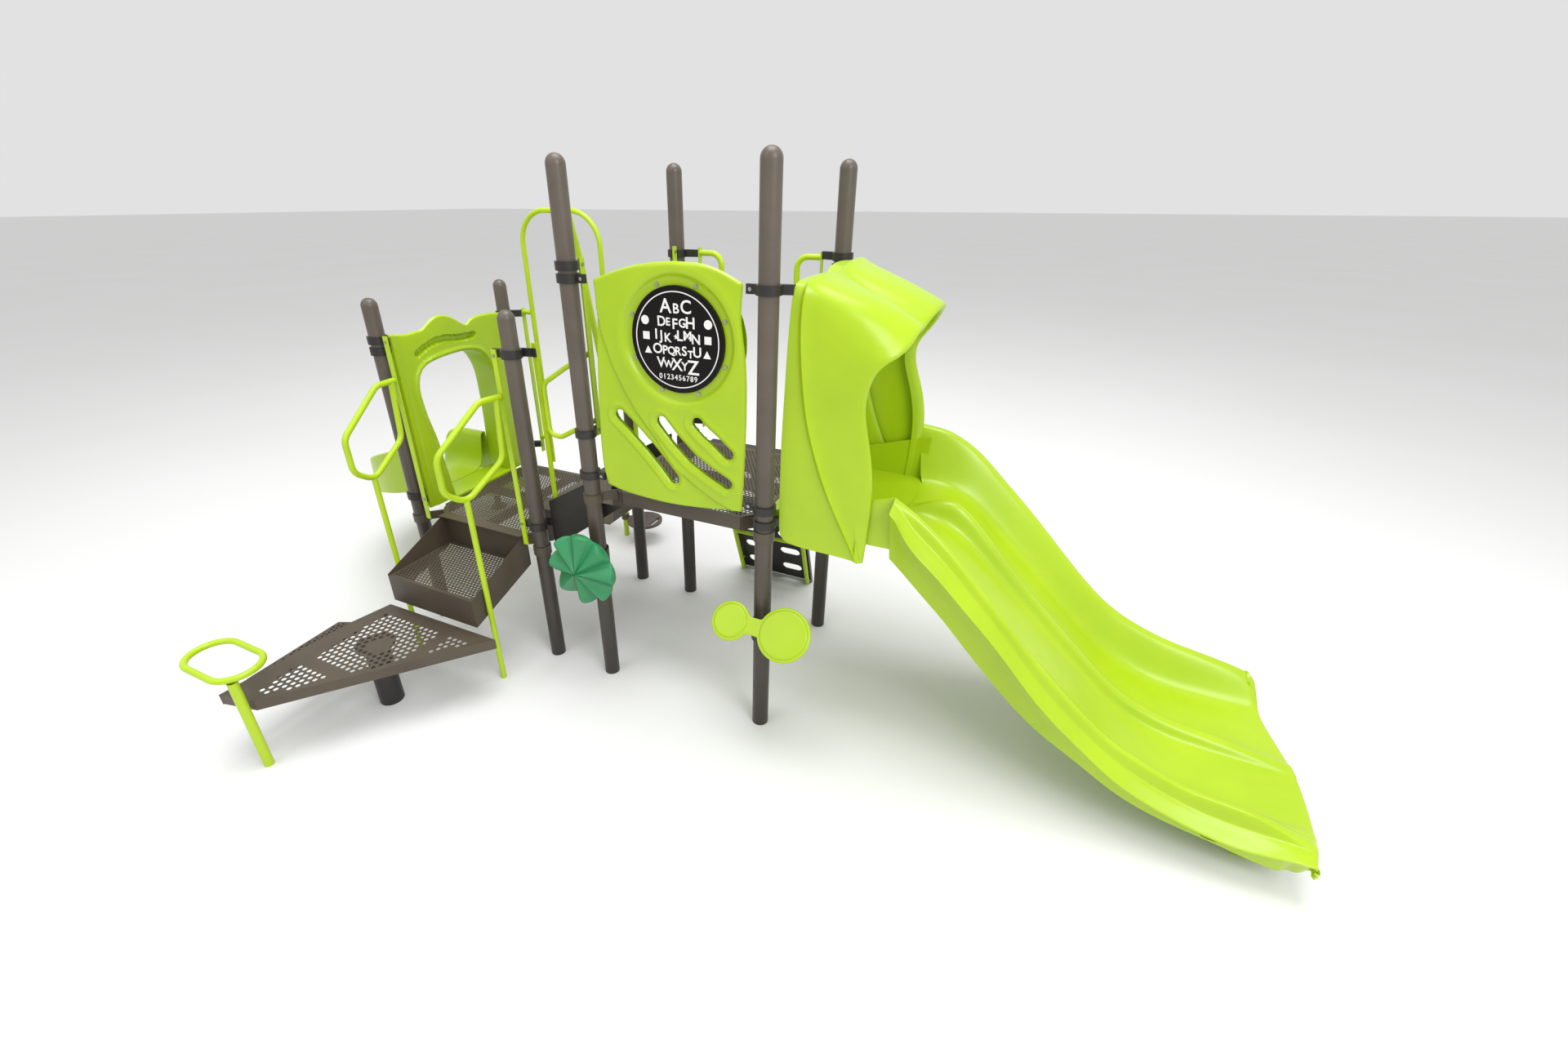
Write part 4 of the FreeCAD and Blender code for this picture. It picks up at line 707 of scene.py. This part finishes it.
def punched_tray(name, plan, open_at, pitch, hole, top, flange):
    """Sheet with staggered holes where open_at(x, y) is true, trimmed and folded down."""
    rise = pitch * math.sqrt(3) / 2
    low = [min(p[i] for p in plan) for i in (0, 1)]
    high = [max(p[i] for p in plan) for i in (0, 1)]
    columns = math.ceil((high[0] - low[0]) / pitch) + 2
    rows = 2 * math.ceil(((high[1] - low[1]) / rise + 2) / 2)
    bpy.ops.object.select_all(action="DESELECT")
    bpy.ops.mesh.primitive_circle_add(vertices=8, radius=hole / 2000)
    sheet = bpy.context.object
    sheet.name = name
    edit(sheet)
    bpy.ops.mesh.select_all(action="SELECT")
    bpy.ops.mesh.extrude_region_move()
    bpy.ops.transform.resize(value=(1.5, 1.5, 1))
    bpy.ops.object.mode_set(mode="OBJECT")
    for corner in sheet.data.vertices:
        if corner.co.length > hole / 2000 * 1.2:
            for axis, half in ((0, pitch / 2000), (1, rise / 2000)):
                share = corner.co[axis]
                corner.co[axis] = 0 if abs(share) < 1e-5 else math.copysign(half, share)
    for count, step in ((columns, (pitch, 0)), (2, (pitch / 2, rise)), (rows // 2, (0, 2 * rise))):
        modify(sheet, "ARRAY", count=count, use_relative_offset=False,
               use_constant_offset=True, use_merge_vertices=True, merge_threshold=0.0001,
               constant_offset_displace=(step[0] / 1000, step[1] / 1000, 0))
    start = (low[0] - pitch * 0.75, low[1] - rise * 0.5)
    for corner in sheet.data.vertices:
        corner.co.x += start[0] / 1000
        corner.co.y += start[1] / 1000
        corner.co.z = top / 1000
    close_up(sheet, outward=False)
    edit(sheet)
    bpy.ops.object.mode_set(mode="OBJECT")
    for corner in sheet.data.vertices:
        x, y = corner.co.x * 1000, corner.co.y * 1000
        row = round((y - start[1]) / rise)
        shift = start[0] + (pitch / 2 if row % 2 else 0)
        cx, cy = shift + round((x - shift) / pitch) * pitch, start[1] + row * rise
        on_hole = math.hypot(x - cx, y - cy) < hole * 0.53
        corner.select = on_hole and not open_at(cx, cy)
    bpy.ops.object.mode_set(mode="EDIT")
    bpy.ops.mesh.fill_holes(sides=8)
    for (xa, ya), (xb, yb) in zip(plan, plan[1:] + plan[:1]):
        bpy.ops.mesh.select_all(action="SELECT")
        facing = Vector((yb - ya, xa - xb, 0)).normalized()
        bpy.ops.mesh.bisect(plane_co=(xa / 1000, ya / 1000, 0), plane_no=facing,
                            clear_outer=True)
    bpy.ops.mesh.select_all(action="DESELECT")
    bpy.ops.object.mode_set(mode="OBJECT")
    for corner in sheet.data.vertices:
        corner.select = not inside(plan, corner.co.x * 1000, corner.co.y * 1000, 0.2)
    bpy.ops.object.mode_set(mode="EDIT")
    bpy.ops.mesh.extrude_region_move(
        TRANSFORM_OT_translate={"value": (0, 0, -flange / 1000)})
    bpy.ops.mesh.select_all(action="SELECT")
    bpy.ops.mesh.normals_make_consistent(inside=False)
    bpy.ops.object.mode_set(mode="OBJECT")
    if sum(face.normal.z * face.area for face in sheet.data.polygons) < 0:
        sheet.data.flip_normals()
    modify(sheet, "SOLIDIFY", thickness=0.003, offset=-1.0)
    close_up(sheet, outward=False, angle=30)
    return sheet


HIGH_Z, LOW_Z, INSET, DECK_CUT, DECK_SIDE, FLANGE = 1240, 815, 55, 100, 906, 75
for node, x_left, top in (("high_deck", 0.0, HIGH_Z), ("low_deck", -1442.6, LOW_Z)):
    x0, y0 = x_left + INSET, INSET
    x1, y1 = x0 + DECK_SIDE, y0 + DECK_SIDE
    plan = [(x0 + DECK_CUT, y0), (x1 - DECK_CUT, y0), (x1, y0 + DECK_CUT),
            (x1, y1 - DECK_CUT), (x1 - DECK_CUT, y1), (x0 + DECK_CUT, y1),
            (x0, y1 - DECK_CUT), (x0, y0 + DECK_CUT)]
    deck = punched_tray(node + "_sheet", plan,
                        lambda x, y, plan=plan: inside(plan, x, y, 24), 22, 15, top, FLANGE)
    fit(deck, deck_coat, "deck_coat", node)

tread_low, tread_high = [corner * 1000 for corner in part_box("step_tread")]
tread_plan = [(tread_low.x, tread_low.y), (tread_high.x, tread_low.y),
              (tread_high.x, tread_high.y), (tread_low.x, tread_high.y)]
tread = punched_tray("step_tread_sheet", tread_plan,
                     lambda x, y: inside(tread_plan, x, y, 26), 24, 16, tread_high.z, 3)
fit(tread, deck_coat, "deck_coat", "step_tread")

PLATFORM_PLAN = [(-1389, -1394), (-1184, -1349), (-446, -456), (-1298, -462), (-1350, -700)]
FIELDS = [[(-1244, -1345), (-942, -1062), (-1262, -1066)],
          [(-902, -1010), (-782, -806), (-782, -535), (-1238, -535), (-1250, -1000)],
          [(-712, -824), (-505, -535), (-718, -535)]]
SUPPORT_X, SUPPORT_Y, SUPPORT_DISC = -1000, -770, 62


def platform_hole(x, y):
    """Whether the platform has a hole here: in a field, off the disc and the edge."""
    clear = math.hypot(x - SUPPORT_X, y - SUPPORT_Y) > SUPPORT_DISC
    return (clear and inside(PLATFORM_PLAN, x, y, 30)
            and any(inside(field, x, y, 6) for field in FIELDS))


platform = punched_tray("transfer_platform_sheet", PLATFORM_PLAN, platform_hole, 38, 26, 406, 62)
fit(platform, deck_coat, "deck_coat", "transfer_platform")

LEAF_PLAN = [(-1446, -1240), (-1397, -1290), (-1364, -640), (-1480, -692)]
leaf = punched_tray("transfer_side_leaf_sheet", LEAF_PLAN,
                    lambda x, y: inside(LEAF_PLAN, x, y, 14) and y > -1210, 26, 15, 366, 62)
fit(leaf, deck_coat, "deck_coat", "transfer_side_leaf")

# ---- cloud-topped panel at the short slide -----------------------------------------------------
# A thick moulding with a wavy top, a wavy groove under it and an arched doorway whose
# raised surround carries on through as a short passage. It is clamped between two posts.
CLOUD_TOP = [(62, 1950), (110, 1944), (165, 1935), (225, 1938), (290, 1945), (335, 1972),
             (380, 1996), (425, 2006), (470, 2004), (515, 1990), (560, 1966), (600, 1938),
             (635, 1922), (690, 1950), (770, 1962), (860, 1960), (955, 1950)]
DOORWAY = [(270, 830), (246, 1040), (225, 1250), (192, 1420), (178, 1560), (184, 1625),
           (205, 1680), (250, 1722), (330, 1745), (440, 1757), (560, 1760), (650, 1748),
           (720, 1720), (768, 1655), (800, 1560), (808, 1400), (806, 1250), (795, 1040),
           (780, 830)]
WAVE = [(222, 1806), (300, 1840), (360, 1855), (420, 1862), (490, 1856), (560, 1845),
        (680, 1845)]
CLOUD_FRONT, TUNNEL_X = -1412.6, -1602.6
CLOUD_THICK = 0.048


def smooth_path(points, runs):
    """Points on a smooth curve through a path, evenly shared between its corners."""
    lengths = [0.0]
    for (ya, za), (yb, zb) in zip(points, points[1:]):
        lengths.append(lengths[-1] + math.hypot(yb - ya, zb - za))
    ys = [(length, point[0]) for length, point in zip(lengths, points)]
    zs = [(length, point[1]) for length, point in zip(lengths, points)]
    return [(along(ys, lengths[-1] * k / runs), along(zs, lengths[-1] * k / runs))
            for k in range(runs + 1)]


door_path = smooth_path(DOORWAY, 54)
wave_path = smooth_path(WAVE, 16)


def door_gap(y, z):
    """Distance from the doorway's edge, less than 0 inside it."""
    away, side = nearest(door_path, y, z)
    return away * side


def on_cloud(s, t):
    """A spot on the cloud panel's outline grid, as (y, z)."""
    y = 62 + 893 * s
    return y, 815 + t * (along(CLOUD_TOP, y) - 815)


def cloud_relief(y, z):
    """The moulded skin that faces the deck at (y, z)."""
    rim = min(y - 62, 955 - y, along(CLOUD_TOP, y) - z)
    x = CLOUD_FRONT - rounded(rim, 16, 14) - 9 * ramp((118 - y) / 10)
    away = door_gap(y, z)
    x += 12 * ramp((34 - away) / 12) - rounded(away, 12, 10)
    x -= 34 * ramp((22 - nearest(wave_path, y, z)[0]) / 8)
    return x, y, z


cloud = cut_skin("cloud_panel_skin", 100, 120, on_cloud, door_gap, cloud_relief)
if sum(face.normal.x * face.area for face in cloud.data.polygons) < 0:
    cloud.data.flip_normals()
modify(cloud, "SOLIDIFY", thickness=CLOUD_THICK, offset=-1.0)
close_up(cloud, outward=False, angle=60)
fit(cloud, lime_plastic, "lime_plastic", "slide_entry_panel")

passage = shaped_grid(
    "doorway_passage", 54, 8,
    lambda s, t: (CLOUD_FRONT + 2 + t * (TUNNEL_X - CLOUD_FRONT - 2), *door_path[round(s * 54)]))
close_up(passage, outward=False)
edit(passage)
bpy.ops.mesh.select_all(action="SELECT")
bpy.ops.mesh.normals_make_consistent(inside=False)
bpy.ops.object.mode_set(mode="OBJECT")
arch_top = max(passage.data.polygons, key=lambda face: face.center.z)
if arch_top.normal.z < 0:
    passage.data.flip_normals()
modify(passage, "SOLIDIFY", thickness=0.02, offset=1.0)
modify(passage, "BEVEL", width=0.004, segments=2, limit_method="ANGLE")
close_up(passage, outward=False, angle=40)
fit(passage, lime_plastic, "lime_plastic")

sill = shaped_grid("doorway_sill", 12, 8,
                   lambda s, t: (TUNNEL_X + s * (-1387.6 - TUNNEL_X), 262 + 528 * t,
                                 829 + 3 * ramp(abs(t - 0.5) * 2)))
close_up(sill, outward=False)
modify(sill, "SOLIDIFY", thickness=0.022, offset=-1.0)
modify(sill, "BEVEL", width=0.004, segments=2, limit_method="ANGLE")
close_up(sill, outward=False)
fit(sill, lime_plastic, "lime_plastic")

# ---- short curved slide -----------------------------------------------------------------------
# A single moulded trough with rolled rims: straight off the passage, a quarter turn, and a
# level run-out on one leg.
SMALL_START, SMALL_Y, TURN_X, TURN_Y, SMALL_END = -1603.1, 508.0, -1942.6, 950.0, 1640.0
TURN_R = TURN_Y - SMALL_Y
TROUGH = [(290, -40, 0), (291, -10, 0.5), (290, 0, 1), (284, 8, 1), (270, 12, 1), (252, 8, 1),
          (236, -6, 1), (222, 30, 0.5), (208, 60, 0), (182, 28, 0), (150, 10, 0), (105, 1, 0),
          (50, 0, 0)]
small_straight = SMALL_START - TURN_X
small_arc = TURN_R * math.pi / 2
small_total = small_straight + small_arc + SMALL_END - TURN_Y


def on_small_slide(s, t):
    """Corner of the trough at a share s across and t of the way down."""
    gone = t * small_total
    if gone <= small_straight:
        cx, cy, turn = SMALL_START - gone, SMALL_Y, 0.0
    elif gone <= small_straight + small_arc:
        turn = (gone - small_straight) / TURN_R
        cx, cy = TURN_X - TURN_R * math.sin(turn), TURN_Y - TURN_R * math.cos(turn)
    else:
        turn = math.pi / 2
        cx, cy = TURN_X - TURN_R, TURN_Y + gone - small_straight - small_arc
    fall = min(max((gone - small_straight * 0.6) / (small_total - small_straight * 0.6 - 220),
                   0), 1)
    bed = 830 - 560 * (0.35 * fall + 0.65 * fall * fall * (3 - 2 * fall))
    rail = 262 - 120 * min(max((gone - small_straight) / small_arc, 0), 1)
    k = round(s * 26) - 13
    if k == 0:
        side, lift = 0.0, bed
    else:
        out, up, share = TROUGH[13 - abs(k)]
        side, lift = math.copysign(out, k), bed + up + rail * share
    heading = math.pi * 1.5 - turn
    return cx + math.cos(heading) * side, cy + math.sin(heading) * side, lift


small_slide = shaped_grid("short_slide_bed", 26, 44, on_small_slide)
close_up(small_slide)
if sum(face.normal.z * face.area for face in small_slide.data.polygons) < 0:
    small_slide.data.flip_normals()
modify(small_slide, "SUBSURF", levels=1, render_levels=1)
modify(small_slide, "SOLIDIFY", thickness=SLIDE_SHEET, offset=-1.0)
close_up(small_slide, outward=False, angle=50)
fit(small_slide, lime_plastic, "lime_plastic", "small_slide")

# ---- pair of play drums -------------------------------------------------------------------------
# Two moulded bowls with domed heads, joined by a waisted plate and held at a slant by an
# arm from the front right post. A big drum and a small one give two notes.
DRUM_Y, DRUM_Z, DRUM_TILT = -140.0, 750.0, math.radians(45)
DRUMS = [(1187.0, 138.0, 92.0), (898.0, 104.0, 66.0)]


def tilted(x, across, lift):
    """A spot on the slanted drums: across the plate, and lifted square from it."""
    return (x, DRUM_Y + across * math.sin(DRUM_TILT) - lift * math.cos(DRUM_TILT),
            DRUM_Z + across * math.cos(DRUM_TILT) + lift * math.sin(DRUM_TILT))


def turned(name, profile, steps, place):
    """A round piece: the profile's (radius, lift) carried round and put in place."""
    def corner(s, t):
        radius, lift = profile[round(t * (len(profile) - 1))]
        return place(radius * math.cos(2 * math.pi * s), radius * math.sin(2 * math.pi * s),
                     lift)
    piece = shaped_grid(name, steps, len(profile) - 1, corner)
    close_up(piece)
    return piece


for drum_name, (x, rim, base) in zip(("big_drum", "small_drum"), DRUMS):
    bowl = turned(drum_name, [(0, 8.5), (rim * 0.4, 8.4), (rim * 0.7, 8), (rim - 26, 7.6),
                              (rim - 19, 6), (rim - 16, 2.5), (rim - 15.4, -0.6),
                              (rim - 14.6, -1), (rim - 8, -1), (rim - 3, -2.5),
                              (rim, -7), (rim - 1, -12), (rim - 5, -15),
                              (rim - 14, -22), (base + 8, -98), (base + 2, -112),
                              (base - 8, -119), (base - 26, -120), (0, -120)], 40,
                  lambda a, b, lift, x=x: tilted(x + a, b, lift))
    modify(bowl, "SUBSURF", levels=1, render_levels=1)
    close_up(bowl, outward=False, angle=50)
    if drum_name == "big_drum":
        fit(bowl, lime_plastic, "lime_plastic", "drum_body", "drum_heads")
    else:
        fit(bowl, lime_plastic, "lime_plastic")


def on_drum_plate(s, t):
    """Corner of the plate that joins the drums, narrow at its middle."""
    x = DRUMS[1][0] - 60 + t * (DRUMS[0][0] - DRUMS[1][0] + 120)
    waist = 44 + 62 * ((x - 1030) / 150) ** 2
    return tilted(x, (2 * s - 1) * min(waist, 88), -1.5)


plate = shaped_grid("drum_plate", 6, 24, on_drum_plate)
close_up(plate, outward=False)
if sum(face.normal.z * face.area for face in plate.data.polygons) < 0:
    plate.data.flip_normals()
modify(plate, "SOLIDIFY", thickness=0.012, offset=-1.0)
modify(plate, "BEVEL", width=0.004, segments=2, limit_method="ANGLE")
close_up(plate, outward=False)
fit(plate, lime_plastic, "lime_plastic")

# ---- pleated wheel --------------------------------------------------------------------------
# A child turns this moulded wheel on its axle. Eight pleats run out from the hub, with a
# sharp valley between each two, and the scalloped edge folds back behind them.
WHEEL_Z, WHEEL_R, PLEATS = 832.0, 214.0, 8
WHEEL_FRONT, WHEEL_BACK = -230, -130
RIM_BACK, RIDGE = 92, 62  # the rim's valleys sit back, and its ridges stand out from them
WHEEL_RINGS = [(0.0, 0.0), (0.06, 0.0), (0.3, 0.0), (0.6, 0.0), (0.85, 0.0), (0.97, 0.05),
               (1.0, 0.2), (1.0, 0.6), (0.97, 0.95), (0.9, 1.0), (0.4, 1.0), (0.0, 1.0)]


def on_wheel(s, t):
    """Corner of the wheel: s round it, t from the hub over the edge to the back."""
    share, behind = WHEEL_RINGS[round(t * (len(WHEEL_RINGS) - 1))]
    turn = 2 * math.pi * s
    pleat = abs(((s * PLEATS) % 1.0) * 2 - 1)
    pleat = 1 - (1 - pleat) ** 1.25
    radius = share * WHEEL_R * (0.9 + 0.1 * math.sin(pleat * math.pi / 2))
    front = (WHEEL_FRONT + share * (RIM_BACK - RIDGE * pleat)
             + (1 - share) * 8 * (1 - pleat))
    depth = front + (WHEEL_BACK - front) * behind
    return radius * math.cos(turn), depth, WHEEL_Z + radius * math.sin(turn)


wheel = shaped_grid("pleated_wheel", PLEATS * 12, len(WHEEL_RINGS) - 1, on_wheel)
close_up(wheel)
modify(wheel, "SUBSURF", levels=1, render_levels=1)
close_up(wheel, outward=False, angle=28)
fit(wheel, teal_plastic, "teal_plastic", "star_wheel", body="wheel")
